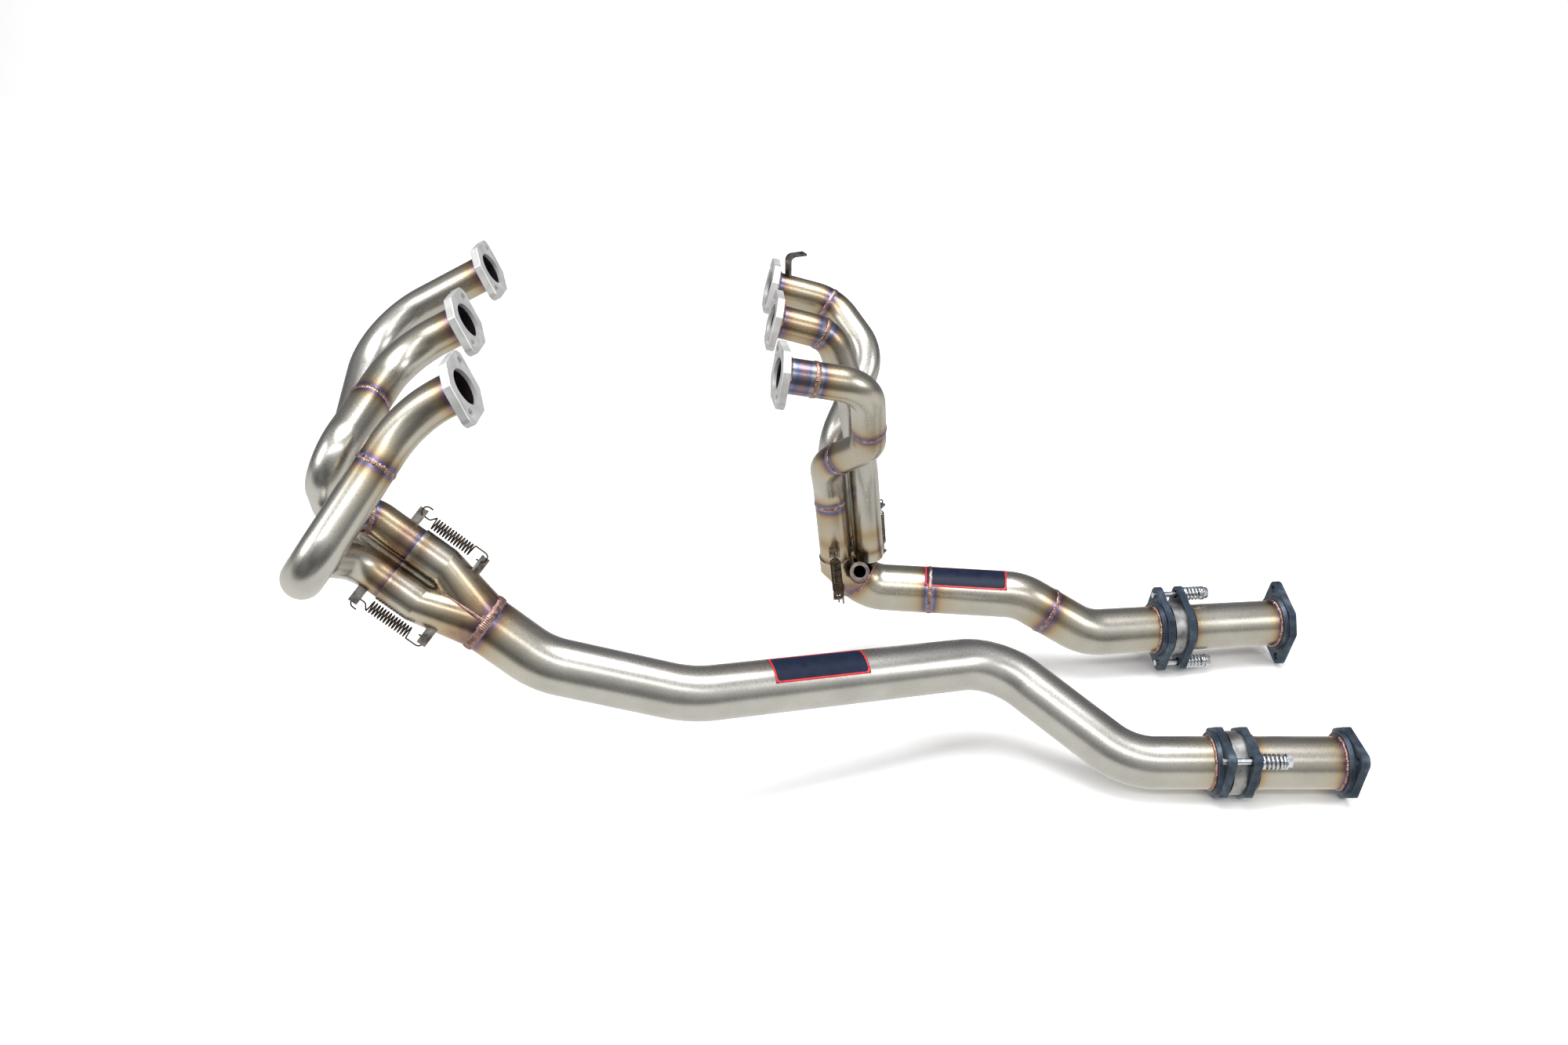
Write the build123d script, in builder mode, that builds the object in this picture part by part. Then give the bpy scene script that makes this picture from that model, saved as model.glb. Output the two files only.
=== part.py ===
from build123d import *
from math import acos, atan2, cos, hypot, radians, sin, sqrt
import os

# A six-cylinder exhaust header set: two banks, each with three primaries, a slip-joint collector,
# a downpipe and a sprung ball joint with a short flanged tail.
# Driving dimensions, millimetres.  +X runs downstream to the tails, +Y from front bank to rear, +Z up.
# The layout is drawn from a point on the ground; write_parts moves it to the front outlet face.

PRIMARY_R = 20.0
PRIMARY_WALL = 1.5
PIPE_R = 31.75
PIPE_WALL = 1.5
SLIP_CLEARANCE = 0.05
SLEEVE_WALL = 1.5
SLEEVE_SPACING = 47.5
COLLAR_LENGTH = 8.0
COLLAR_BORE_LENGTH = 4.0
CONE_INSET = 1.7

PORT_LENGTH = 84.0
PORT_WIDTH = 56.0
PORT_THICK = 9.0
PORT_END_R = 9.0
PORT_FLAT = 26.0
PORT_CORNER_R = 2.5
PORT_EDGE = 0.6
PORT_SOCKET = 5.0
PORT_HOLE_R = 4.5
PORT_HOLE_REACH = 30.0
PORT_STUD_ANGLE = 52.0

JOINT_LENGTH = 116.0
JOINT_WIDTH = 84.0
JOINT_THICK = 10.0
JOINT_BOLT_REACH = 47.0
JOINT_END_R = 11.0
JOINT_FLAT = 30.0
JOINT_CORNER_R = 5.0
JOINT_EDGE = 0.8
BOSS_R = 38.0
BOSS_HEIGHT = 5.0
BOSS_TAPER = 12.0
SEAT_LIP = 2.0

BALL_R = 34.5
RING_IN_R = 34.55
RING_OUT_R = 38.0
SOCKET_R = 38.05
WELD_FLANGE_FACE = -17.0
FLOAT_FLANGE_FACE = 3.0
BALL_START = -13.5
BALL_END = 11.0
RING_START = -13.5
RING_END = 9.0
NECK_R = 37.2
NECK_TOP_R = 34.6
NECK_END = 19.0
TAIL_START = 16.0
TAIL_RELIEF = 1.5

BOLT_R = 4.0
BOLT_CLEAR_R = 6.0
BOLT_TIP = 3.0
WASHER_R = 9.5
WASHER_THICK = 2.0
BOLT_HEAD_R = 8.0
BOLT_HEAD_HEIGHT = 6.0
TAIL_HOLE_R = 5.5
BOLT_SPRING_LENGTH = 28.0
BOLT_SPRING_R = 8.0
BOLT_SPRING_WIRE = 1.5
BOLT_SPRING_TURNS = 5.0
END_COIL_GAP = 0.1

SPRING_SPAN = 75.0
HOOK_WIRE = 0.9
HOOK_TAIL = 4.0
COIL_R = 6.3
COIL_TURNS = 14.0
COIL_LENGTH = 50.0
COIL_CLEARANCE = 9.0
HOOK_R = 5.5
TAB_REACH = 12.5
TAB_THICK = 2.5
TAB_WIDTH = 14.0
TAB_FOLD = 9.0
TAB_HOLE_R = 2.8
TAB_EDGE = 7.0
COLLECTOR_TAB_TOP = 2.8
FRONT_TAB_FOOT = -32.0
REAR_TAB_FOOT = -36.0

LABEL_THICK = 0.4
LABEL_TURN = 15.0
LABEL_HALF_ANGLE = 36.0

GAP = 0.02


def offset_point(start, *steps):
    """start moved by pairs of (direction, distance)"""
    point = Vector(start)
    for direction, distance in steps:
        point = point + Vector(direction).normalized() * distance
    return point


class Bundle:
    """Three parallel slip sleeves round one axis, with their mouths in one plane."""

    def __init__(self, centre, upstream, away, sleeve_length):
        self.centre = Vector(centre)
        self.up = Vector(upstream).normalized()
        self.away = (Vector(away) - self.up * self.up.dot(Vector(away))).normalized()
        self.side = self.up.cross(self.away).normalized()
        self.sleeve_length = sleeve_length
        self.radius = SLEEVE_SPACING / sqrt(3)

    def radial(self, angle):
        """unit vector across the axis, at an angle from the away direction"""
        return self.away * cos(radians(angle)) + self.side * sin(radians(angle))

    def mouth(self, angle):
        return self.centre + self.radial(angle) * self.radius

    def along(self, angle, distance):
        """a point on one sleeve's axis, distance upstream of its mouth"""
        return self.mouth(angle) + self.up * distance


# Sleeve angles round the bundle, for the ports in order of rising Y.
SLEEVE_ANGLES = (120.0, 240.0, 0.0)


def tube(points, radii, outer, wall):
    """one bent tube: straight runs joined by constant-radius bends"""
    with BuildPart() as part:
        with BuildLine() as path:
            if radii:
                FilletPolyline(*points, radius=radii)
            else:
                Line(*points)
        with BuildSketch(Plane(origin=path.line @ 0, z_dir=path.line % 0)):
            Circle(outer)
            Circle(outer - wall, mode=Mode.SUBTRACT)
        sweep()
    return part


def solid_rod(points, radii, outer):
    """the space a bent tube fills, without its bore"""
    with BuildPart() as part:
        with BuildLine() as path:
            if radii:
                FilletPolyline(*points, radius=radii)
            else:
                Line(*points)
        with BuildSketch(Plane(origin=path.line @ 0, z_dir=path.line % 0)):
            Circle(outer)
        sweep()
    return part


def cylinder_between(start, end, radius):
    """algebra-mode rod from start to end"""
    axis = Vector(end) - Vector(start)
    plane = Plane(origin=start, z_dir=axis)
    return extrude(plane * Circle(radius), axis.length)


def runner_cone(top_plane, top_r, low_plane, low_r):
    return loft([top_plane * Circle(top_r), low_plane * Circle(low_r)])


def merge_solid(bundle, outlet, skin, collar_length):
    """sleeves, cones and outlet collar as one solid; skin shrinks it to make the bore"""
    sleeve_r = PRIMARY_R + SLIP_CLEARANCE + SLEEVE_WALL - skin
    low_r = PIPE_R - CONE_INSET - skin
    body = extrude(outlet * Circle(PIPE_R - skin), collar_length)
    for angle in SLEEVE_ANGLES:
        top = bundle.along(angle, -bundle.sleeve_length)
        reach = bundle.radial(angle)
        reach = (reach - outlet.z_dir * outlet.z_dir.dot(reach)).normalized()
        top_plane = Plane(origin=top, z_dir=bundle.up, x_dir=bundle.away)
        low_plane = Plane(origin=outlet.origin + reach * CONE_INSET, z_dir=outlet.z_dir, x_dir=bundle.away)
        body = body + cylinder_between(top, bundle.mouth(angle), sleeve_r)
        body = body + runner_cone(top_plane, sleeve_r, low_plane, low_r)
    return body


def merge_collector(bundle, outlet, extra_cut=None):
    """three sleeves that narrow into one round outlet"""
    outside = merge_solid(bundle, outlet, 0.0, COLLAR_LENGTH)
    bore = merge_solid(bundle, outlet, SLEEVE_WALL, COLLAR_BORE_LENGTH)
    with BuildPart() as part:
        add(outside)
        add(bore, mode=Mode.SUBTRACT)
        if extra_cut is not None:
            add(extra_cut, mode=Mode.SUBTRACT)
    return part


def lozenge(length, width, end_r, flat, corner_r):
    """flange outline: round ends, straight sides tangent to them and a short flat beside the bore"""
    end_x = length / 2 - end_r
    slope = atan2(width / 2, flat / 2 - end_x)
    lean = slope - acos(end_r / hypot(width / 2, flat / 2 - end_x))
    touch_x = end_x + end_r * cos(lean)
    touch_y = end_r * sin(lean)
    with BuildSketch() as sketch:
        with BuildLine():
            for side in (1, -1):
                Polyline(
                    (touch_x, side * touch_y),
                    (flat / 2, side * width / 2),
                    (-flat / 2, side * width / 2),
                    (-touch_x, side * touch_y),
                )
                ThreePointArc((side * touch_x, -touch_y), (side * length / 2, 0), (side * touch_x, touch_y))
        make_face()
        fillet(sketch.vertices().filter_by(lambda v: abs(v.X) < flat / 2 + GAP), corner_r)
    return sketch.sketch


def flange_plate(low, outline, thick, edge):
    """plate standing on plane low, with both rims chamfered"""
    along = Axis(low.origin, low.z_dir)
    blank = low * extrude(outline, thick)
    with BuildPart() as part:
        add(blank)
        for end in (-1, 0):
            chamfer(part.faces().sort_by(along)[end].outer_wire().edges(), edge)
    return part.part


PORT_OUTLINE = lozenge(PORT_LENGTH, PORT_WIDTH, PORT_END_R, PORT_FLAT, PORT_CORNER_R)
JOINT_OUTLINE = lozenge(JOINT_LENGTH, JOINT_WIDTH, JOINT_END_R, JOINT_FLAT, JOINT_CORNER_R)


def port_flange(face_centre, normal, stud_line):
    """two-stud plate with a socket for the primary on its back"""
    face = Plane(origin=face_centre, z_dir=normal, x_dir=stud_line)
    plate = flange_plate(face.offset(-PORT_THICK), PORT_OUTLINE, PORT_THICK, PORT_EDGE)
    with BuildPart() as part:
        add(plate)
        with BuildSketch(face):
            Circle(PRIMARY_R - PRIMARY_WALL)
            with Locations((PORT_HOLE_REACH, 0), (-PORT_HOLE_REACH, 0)):
                Circle(PORT_HOLE_R)
        extrude(amount=-PORT_THICK, mode=Mode.SUBTRACT)
        with BuildSketch(face.offset(-PORT_THICK)):
            Circle(PRIMARY_R + GAP)
        extrude(amount=PORT_SOCKET, mode=Mode.SUBTRACT)
    return part


def stud_direction(normal, angle):
    """the line through both studs: turned by angle from the steepest line of the face towards +Y"""
    face_normal = Vector(normal).normalized()
    level = (Vector(0, 1, 0) - face_normal * face_normal.dot(Vector(0, 1, 0))).normalized()
    steep = level.cross(face_normal).normalized()
    if steep.Z < 0:
        steep = steep * -1
    return steep * cos(radians(angle)) + level * sin(radians(angle))


def pipe_flange(axis, face, hole_r, lip, lip_r):
    """two-bolt lozenge with a weld boss upstream: face is the plate's upstream face along the axis"""
    low = axis.offset(face)
    plate = flange_plate(low, JOINT_OUTLINE, JOINT_THICK, JOINT_EDGE)
    with BuildPart() as part:
        add(plate)
        with BuildSketch(low):
            Circle(BOSS_R)
        extrude(amount=-BOSS_HEIGHT, taper=BOSS_TAPER)
        with BuildSketch(low.offset(-BOSS_HEIGHT)):
            Circle(PIPE_R + GAP)
        extrude(amount=BOSS_HEIGHT + JOINT_THICK - lip, mode=Mode.SUBTRACT)
        with BuildSketch(low):
            Circle(lip_r)
            with Locations((JOINT_BOLT_REACH, 0), (-JOINT_BOLT_REACH, 0)):
                Circle(hole_r)
        extrude(amount=JOINT_THICK, mode=Mode.SUBTRACT)
    return part


def sphere_band(axis, inner_r, outer_r, low, high):
    """the part of a spherical shell between two planes across the pipe"""
    with BuildPart() as part:
        with Locations(Location(axis)):
            Sphere(outer_r)
            Sphere(inner_r, mode=Mode.SUBTRACT)
        split(bisect_by=axis.offset(low), keep=Keep.TOP)
        split(bisect_by=axis.offset(high), keep=Keep.BOTTOM)
    return part


def ball_end(axis):
    """swelled end of the downpipe that the sealing ring rocks on"""
    return sphere_band(axis, BALL_R - PIPE_WALL, BALL_R, BALL_START, BALL_END)


def sealing_ring(axis):
    """skirt upstream, then a band that is a socket inside and a ball outside"""
    with BuildPart() as part:
        with Locations(Location(axis)):
            Sphere(RING_OUT_R)
            Sphere(RING_IN_R, mode=Mode.SUBTRACT)
        split(bisect_by=axis, keep=Keep.TOP)
        split(bisect_by=axis.offset(RING_END), keep=Keep.BOTTOM)
        with BuildSketch(axis):
            Circle(RING_OUT_R)
            Circle(RING_IN_R, mode=Mode.SUBTRACT)
        extrude(amount=RING_START)
    return part


def floating_flange(axis):
    """lozenge whose bore is a ball socket, with a neck that holds the tail tube"""
    low = axis.offset(FLOAT_FLANGE_FACE)
    plate = flange_plate(low, JOINT_OUTLINE, JOINT_THICK, JOINT_EDGE)
    with BuildPart() as part:
        add(plate)
        with BuildSketch(axis.offset(FLOAT_FLANGE_FACE + JOINT_THICK)):
            Circle(NECK_R)
        with BuildSketch(axis.offset(NECK_END)):
            Circle(NECK_TOP_R)
        loft()
        with Locations(Location(axis)):
            Sphere(SOCKET_R, mode=Mode.SUBTRACT)
        with BuildSketch(axis.offset(NECK_END)):
            Circle(PIPE_R + GAP)
        extrude(amount=TAIL_START - NECK_END, mode=Mode.SUBTRACT)
        with BuildSketch(axis.offset(TAIL_START)):
            Circle(PIPE_R + TAIL_RELIEF)
        extrude(amount=-TAIL_START, mode=Mode.SUBTRACT)
        with BuildSketch(low):
            with Locations((JOINT_BOLT_REACH, 0), (-JOINT_BOLT_REACH, 0)):
                Circle(BOLT_CLEAR_R)
        extrude(amount=JOINT_THICK, mode=Mode.SUBTRACT)
    return part


def tail_tube(axis, flange_face):
    start = axis.origin + axis.z_dir * (TAIL_START + GAP)
    end = axis.origin + axis.z_dir * (flange_face + JOINT_THICK - SEAT_LIP - GAP)
    return tube((start, end), None, PIPE_R, PIPE_WALL)


def joint_bolts(axis):
    """two shoulder bolts screwed into the welded flange"""
    head_face = FLOAT_FLANGE_FACE + JOINT_THICK + BOLT_SPRING_LENGTH
    tip = WELD_FLANGE_FACE - JOINT_THICK - BOLT_TIP
    with BuildPart() as part:
        with BuildSketch(axis.offset(tip)):
            with Locations((JOINT_BOLT_REACH, 0), (-JOINT_BOLT_REACH, 0)):
                Circle(BOLT_R)
        extrude(amount=head_face - tip)
        with BuildSketch(axis.offset(head_face)):
            with Locations((JOINT_BOLT_REACH, 0), (-JOINT_BOLT_REACH, 0)):
                Circle(WASHER_R)
        extrude(amount=WASHER_THICK)
        with BuildSketch(axis.offset(head_face + WASHER_THICK)):
            with Locations((JOINT_BOLT_REACH, 0), (-JOINT_BOLT_REACH, 0)):
                RegularPolygon(BOLT_HEAD_R, 6)
        extrude(amount=BOLT_HEAD_HEIGHT)
    return part


def joint_springs(axis):
    """two open compression springs between the floating flange and the bolt heads"""
    pitch = BOLT_SPRING_LENGTH / BOLT_SPRING_TURNS
    margin = BOLT_SPRING_WIRE + END_COIL_GAP
    low = FLOAT_FLANGE_FACE + JOINT_THICK
    with BuildPart() as one:
        with BuildLine() as coil:
            Helix(pitch, BOLT_SPRING_LENGTH - 2 * margin, BOLT_SPRING_R, center=(0, 0, margin))
        with BuildSketch(Plane(origin=coil.line @ 0, z_dir=coil.line % 0)):
            Circle(BOLT_SPRING_WIRE)
        sweep(is_frenet=True)
        for height in (margin, BOLT_SPRING_LENGTH - margin):
            with Locations((0, 0, height)):
                Torus(BOLT_SPRING_R, BOLT_SPRING_WIRE)
    with BuildPart() as part:
        for side in (JOINT_BOLT_REACH, -JOINT_BOLT_REACH):
            add(axis.offset(low) * Pos(side, 0, 0) * one.part)
    return part


def extension_spring():
    """hooked spring lying along +Z from the collector tab at z=0 to the primary tab; +X is outward"""
    span = SPRING_SPAN
    coil_low = (span - COIL_LENGTH) / 2
    coil_high = coil_low + COIL_LENGTH
    with BuildPart() as part:
        with BuildLine() as coil:
            Helix(COIL_LENGTH / COIL_TURNS, COIL_LENGTH, COIL_R, center=(0, 0, coil_low))
        with BuildSketch(Plane(origin=coil.line @ 0, z_dir=coil.line % 0)):
            Circle(HOOK_WIRE)
        sweep(is_frenet=True)
        with BuildLine() as low_hook:
            Line((COIL_R, 0, coil_low), (COIL_R, 0, 0))
            ThreePointArc((COIL_R, 0, 0), (COIL_R - HOOK_R, 0, -HOOK_R), (COIL_R - 2 * HOOK_R, 0, 0))
            Line((COIL_R - 2 * HOOK_R, 0, 0), (COIL_R - 2 * HOOK_R, 0, HOOK_TAIL))
        with BuildSketch(Plane(origin=low_hook.line @ 0, z_dir=low_hook.line % 0)):
            Circle(HOOK_WIRE)
        sweep()
        with BuildLine() as high_hook:
            FilletPolyline((COIL_R, 0, coil_high), (0, 0, coil_high + HOOK_TAIL), (0, 0, span), radius=2.0)
            ThreePointArc((0, 0, span), (HOOK_R, 0, span + HOOK_R), (2 * HOOK_R, 0, span))
            Line((2 * HOOK_R, 0, span), (2 * HOOK_R, 0, span - HOOK_TAIL))
        with BuildSketch(Plane(origin=high_hook.line @ 0, z_dir=high_hook.line % 0)):
            Circle(HOOK_WIRE)
        sweep()
        with Locations((COIL_R, 0, coil_low), (COIL_R, 0, coil_high)):
            Sphere(HOOK_WIRE)
    return part.part


SPRING_SHAPE = extension_spring()


def slip_plane(bundle, angle, spring_angle, tab_station):
    """local frame of one spring: origin on the spring's line at the collector tab, +Z upstream, +X outward"""
    outward = bundle.radial(spring_angle)
    reach = PRIMARY_R + SLIP_CLEARANCE + SLEEVE_WALL + COIL_CLEARANCE
    origin = bundle.along(angle, tab_station - SPRING_SPAN) + outward * reach
    return Plane(origin=origin, z_dir=bundle.up, x_dir=outward)


def slip_spring(frame):
    with BuildPart() as part:
        add(Location(frame) * SPRING_SHAPE)
    return part


def folded_tab(frame, station, hole_height, top, foot, fold):
    """upright plate with a hook hole and one folded flank; foot is how far it reaches down"""
    with BuildPart() as part:
        with BuildSketch(frame.offset(station - TAB_THICK / 2)):
            with Locations(((top + foot) / 2, 0)):
                Rectangle(top - foot, TAB_WIDTH)
        extrude(amount=TAB_THICK)
        with BuildSketch(frame.offset(station)):
            with Locations(((top + foot) / 2, (TAB_WIDTH - TAB_THICK) / 2)):
                Rectangle(top - foot, TAB_THICK)
        extrude(amount=fold)
        with BuildSketch(frame.offset(station - TAB_THICK)):
            with Locations((hole_height, 0)):
                Circle(TAB_HOLE_R)
        extrude(amount=2 * TAB_THICK, mode=Mode.SUBTRACT)
    return part.part


def primary_tab(points, radii, frame):
    """tab on the primary, cut to sit on the tube"""
    blank = folded_tab(frame, SPRING_SPAN, 0.0, TAB_EDGE, -TAB_REACH, TAB_FOLD)
    saddle = solid_rod(points, radii, PRIMARY_R + GAP)
    with BuildPart() as part:
        add(blank)
        add(saddle.part, mode=Mode.SUBTRACT)
    return part


def collector_tab(frame, foot):
    """tab on a sleeve, with its hook hole on the near side of the spring's line"""
    hole_height = COIL_R - 2 * HOOK_R
    return folded_tab(frame, 0.0, hole_height, COLLECTOR_TAB_TOP, foot, -TAB_FOLD)


def label_patch(start, end, first, length):
    """thin curved plate lying on a straight run of pipe"""
    axis = (Vector(end) - Vector(start)).normalized()
    level = axis.cross(Vector(0, 0, 1)).normalized()
    top = level.cross(axis).normalized()
    outward = top * cos(radians(LABEL_TURN)) + level * sin(radians(LABEL_TURN))
    plane = Plane(origin=Vector(start) + axis * first, z_dir=axis, x_dir=outward)
    low_r = PIPE_R + GAP
    high_r = low_r + LABEL_THICK
    wedge_x = high_r + 1
    wedge_y = wedge_x * sin(radians(LABEL_HALF_ANGLE)) / cos(radians(LABEL_HALF_ANGLE))
    with BuildPart() as part:
        with BuildSketch(plane):
            Circle(high_r)
            Circle(low_r, mode=Mode.SUBTRACT)
            with BuildLine():
                Polyline((0, 0), (wedge_x, wedge_y), (wedge_x, -wedge_y), close=True)
            make_face(mode=Mode.INTERSECT)
        extrude(amount=length)
    return part


# ------------------------------------------------------------------ front bank

FRONT_NORMAL = (cos(radians(27)), 0, sin(radians(27)))
FRONT_PORTS = ((-843, -118, 573), (-873, 36, 585), (-886, 218, 585))
FRONT_OUTLET = Vector(-866, -48, 274)
FRONT_UP = Vector(-0.775, 0.10, 0.624).normalized()
FRONT_BUNDLE = Bundle(FRONT_OUTLET + FRONT_UP * 108, FRONT_UP, (-0.283, 0.828, -0.484), 38.0)
FRONT_INSERT = 30.0
FRONT_AXIS = Plane(origin=(5.5, 0, 43), z_dir=(1, 0, 0), x_dir=(0, -cos(radians(40)), sin(radians(40))))
FRONT_TAIL = 128.0

# Each route: straight length behind the port, the corners between, the straight length above the
# sleeve mouth, and the bend radius at every corner in turn.
FRONT_ROUTES = (
    (54.0, ((-984, -230, 423), (-1013, -100, 385)), 37.5, (100.0, 42.0, 39.0, 46.0)),
    (74.5, ((-974, -141, 500), (-1008, -45, 409)), 52.0, (63.0, 33.0, 37.0, 34.0)),
    (155.0, ((-1017, 24, 431),), 54.5, (84.0, 50.0, 68.0)),
)


def primary_points(port, normal, first, corners, bundle, angle, last, insert):
    """centreline corners from inside the port flange to inside the sleeve"""
    return (
        offset_point(port, (normal, PORT_SOCKET)),
        offset_point(port, (normal, -first)),
        *[Vector(c) for c in corners],
        bundle.along(angle, last),
        bundle.along(angle, -insert),
    )


front_points = [
    primary_points(port, FRONT_NORMAL, route[0], route[1], FRONT_BUNDLE, angle, route[2], FRONT_INSERT)
    for port, route, angle in zip(FRONT_PORTS, FRONT_ROUTES, SLEEVE_ANGLES)
]
front_primary_1 = tube(front_points[0], FRONT_ROUTES[0][3], PRIMARY_R, PRIMARY_WALL)
front_primary_2 = tube(front_points[1], FRONT_ROUTES[1][3], PRIMARY_R, PRIMARY_WALL)
front_primary_3 = tube(front_points[2], FRONT_ROUTES[2][3], PRIMARY_R, PRIMARY_WALL)

front_studs = stud_direction(FRONT_NORMAL, PORT_STUD_ANGLE)
front_faces = [offset_point(port, (FRONT_NORMAL, PORT_THICK)) for port in FRONT_PORTS]
front_port_flange_1 = port_flange(front_faces[0], FRONT_NORMAL, front_studs)
front_port_flange_2 = port_flange(front_faces[1], FRONT_NORMAL, front_studs)
front_port_flange_3 = port_flange(front_faces[2], FRONT_NORMAL, front_studs)

front_outlet_plane = Plane(origin=FRONT_OUTLET, z_dir=FRONT_UP)
front_collector = merge_collector(FRONT_BUNDLE, front_outlet_plane)

FRONT_PIPE = (
    FRONT_OUTLET - FRONT_UP * GAP,
    FRONT_OUTLET - FRONT_UP * 77,
    Vector(-645, -42, 173),
    Vector(-276, 102, 121),
    Vector(-124, 0, 43),
    FRONT_AXIS.origin + FRONT_AXIS.z_dir * (BALL_START - GAP),
)
FRONT_BENDS = (110.0, 160.0, 95.0, 95.0)
front_downpipe = tube(FRONT_PIPE, FRONT_BENDS, PIPE_R, PIPE_WALL)

# Each front spring stands off its sleeve in this direction round the bundle, beside a tab this far up.
SPRING_ANGLES = (90.0, 270.0, 320.0)
FRONT_TAB_STATION = 12.0
front_frames = [
    slip_plane(FRONT_BUNDLE, angle, spring, FRONT_TAB_STATION)
    for angle, spring in zip(SLEEVE_ANGLES, SPRING_ANGLES)
]
front_slip_spring_1 = slip_spring(front_frames[0])
front_slip_spring_2 = slip_spring(front_frames[1])
front_slip_spring_3 = slip_spring(front_frames[2])
front_primary_tab_1 = primary_tab(front_points[0], FRONT_ROUTES[0][3], front_frames[0])
front_primary_tab_2 = primary_tab(front_points[1], FRONT_ROUTES[1][3], front_frames[1])
front_primary_tab_3 = primary_tab(front_points[2], FRONT_ROUTES[2][3], front_frames[2])

front_skin = merge_solid(FRONT_BUNDLE, front_outlet_plane, -GAP, COLLAR_LENGTH)
front_blanks = [collector_tab(tab_frame, FRONT_TAB_FOOT) for tab_frame in front_frames]
with BuildPart() as front_collector_tabs:
    for blank in front_blanks:
        add(blank)
    add(front_skin, mode=Mode.SUBTRACT)

front_ball_end = ball_end(FRONT_AXIS)
front_joint_flange = pipe_flange(FRONT_AXIS, WELD_FLANGE_FACE - JOINT_THICK, BOLT_R, 0.0, PIPE_R + GAP)
front_seal_ring = sealing_ring(FRONT_AXIS)
front_floating_flange = floating_flange(FRONT_AXIS)
front_tail_tube = tail_tube(FRONT_AXIS, FRONT_TAIL)
front_tail_flange = pipe_flange(FRONT_AXIS, FRONT_TAIL, TAIL_HOLE_R, SEAT_LIP, PIPE_R - PIPE_WALL)
front_joint_bolts = joint_bolts(FRONT_AXIS)
front_joint_springs = joint_springs(FRONT_AXIS)
front_label = label_patch(FRONT_PIPE[2], FRONT_PIPE[3], 92.0, 120.0)

# ------------------------------------------------------------------- rear bank

REAR_NORMALS = ((-0.965, -0.15, 0.21), (-0.955, -0.07, 0.28), (-0.955, -0.07, 0.28))
REAR_PORTS = ((-539, 75, 513), (-547, 240, 518), (-552, 391, 513))
REAR_UP = Vector(-0.10, -0.15, 0.98).normalized()
REAR_BUNDLE = Bundle((-454, 274, 193), REAR_UP, (-0.34, 0.94, 0.11), 22.0)
REAR_INSERT = 16.0
REAR_AXIS = Plane(origin=(3, 270, 62), z_dir=(0.9898, 0.1391, -0.03), x_dir=(0.013, 0.469, 0.883))
REAR_TAIL = 149.0

REAR_ROUTES = (
    (94.0, ((-439, 146, 397), (-489, 192, 351)), 110.0, (44.0, 38.0, 50.0, 56.0)),
    (65.0, ((-453, 250, 412),), 114.0, (43.0, 79.0, 90.0)),
    (80.0, ((-426, 348, 435),), 147.0, (58.0, 58.0, 57.0)),
)
rear_points = [
    primary_points(port, normal, route[0], route[1], REAR_BUNDLE, angle, route[2], REAR_INSERT)
    for port, normal, route, angle in zip(REAR_PORTS, REAR_NORMALS, REAR_ROUTES, SLEEVE_ANGLES)
]
rear_primary_1 = tube(rear_points[0], REAR_ROUTES[0][3], PRIMARY_R, PRIMARY_WALL)
rear_primary_2 = tube(rear_points[1], REAR_ROUTES[1][3], PRIMARY_R, PRIMARY_WALL)
rear_primary_3 = tube(rear_points[2], REAR_ROUTES[2][3], PRIMARY_R, PRIMARY_WALL)

rear_faces = [offset_point(port, (n, PORT_THICK)) for port, n in zip(REAR_PORTS, REAR_NORMALS)]
rear_studs = [stud_direction(n, PORT_STUD_ANGLE) for n in REAR_NORMALS]
rear_port_flange_1 = port_flange(rear_faces[0], REAR_NORMALS[0], rear_studs[0])
rear_port_flange_2 = port_flange(rear_faces[1], REAR_NORMALS[1], rear_studs[1])
rear_port_flange_3 = port_flange(rear_faces[2], REAR_NORMALS[2], rear_studs[2])

# The rear pipe leaves the bundle through an elbow: its first half is the tilted outlet.
REAR_CORNER = REAR_BUNDLE.centre - REAR_UP * 72
REAR_BEND_2 = Vector(-219, 263, 120)
REAR_RUN = (REAR_BEND_2 - REAR_CORNER).normalized()
REAR_OUT = (REAR_RUN - REAR_UP).normalized()
REAR_BEND_1 = REAR_CORNER + REAR_RUN * 27
REAR_OUTLET = REAR_BEND_1 - REAR_OUT * 25
rear_outlet_plane = Plane(origin=REAR_OUTLET, z_dir=REAR_OUT * -1)

REAR_PIPE = (
    REAR_OUTLET + REAR_OUT * GAP,
    REAR_BEND_1,
    REAR_BEND_2,
    REAR_AXIS.origin - REAR_AXIS.z_dir * 130,
    REAR_AXIS.origin + REAR_AXIS.z_dir * (BALL_START - GAP),
)
REAR_BENDS = (50.0, 70.0, 80.0)
rear_downpipe = tube(REAR_PIPE, REAR_BENDS, PIPE_R, PIPE_WALL)

rear_skin = merge_solid(REAR_BUNDLE, rear_outlet_plane, -GAP, COLLAR_LENGTH)

# The oxygen sensor boss stands in the valley between the two cones with the lowest Y. Its thread is
# short, and the rest of the bore is wider.
SENSOR_MOUTH = Vector(-440, 230, 176)
SENSOR_AXIS = Vector(0.0, -0.8, 0.6).normalized()
SENSOR_BOSS_R = 13.0
SENSOR_THREAD_R = 8.25
SENSOR_THREAD_LENGTH = 14.0
SENSOR_BORE_R = 9.5
SENSOR_BOSS_DEPTH = 40.0
SENSOR_DRILL_DEPTH = 52.0
sensor_floor = SENSOR_MOUTH - SENSOR_AXIS * SENSOR_THREAD_LENGTH
sensor_end = SENSOR_MOUTH - SENSOR_AXIS * SENSOR_DRILL_DEPTH
sensor_blank = cylinder_between(SENSOR_MOUTH, SENSOR_MOUTH - SENSOR_AXIS * SENSOR_BOSS_DEPTH, SENSOR_BOSS_R)
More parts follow.
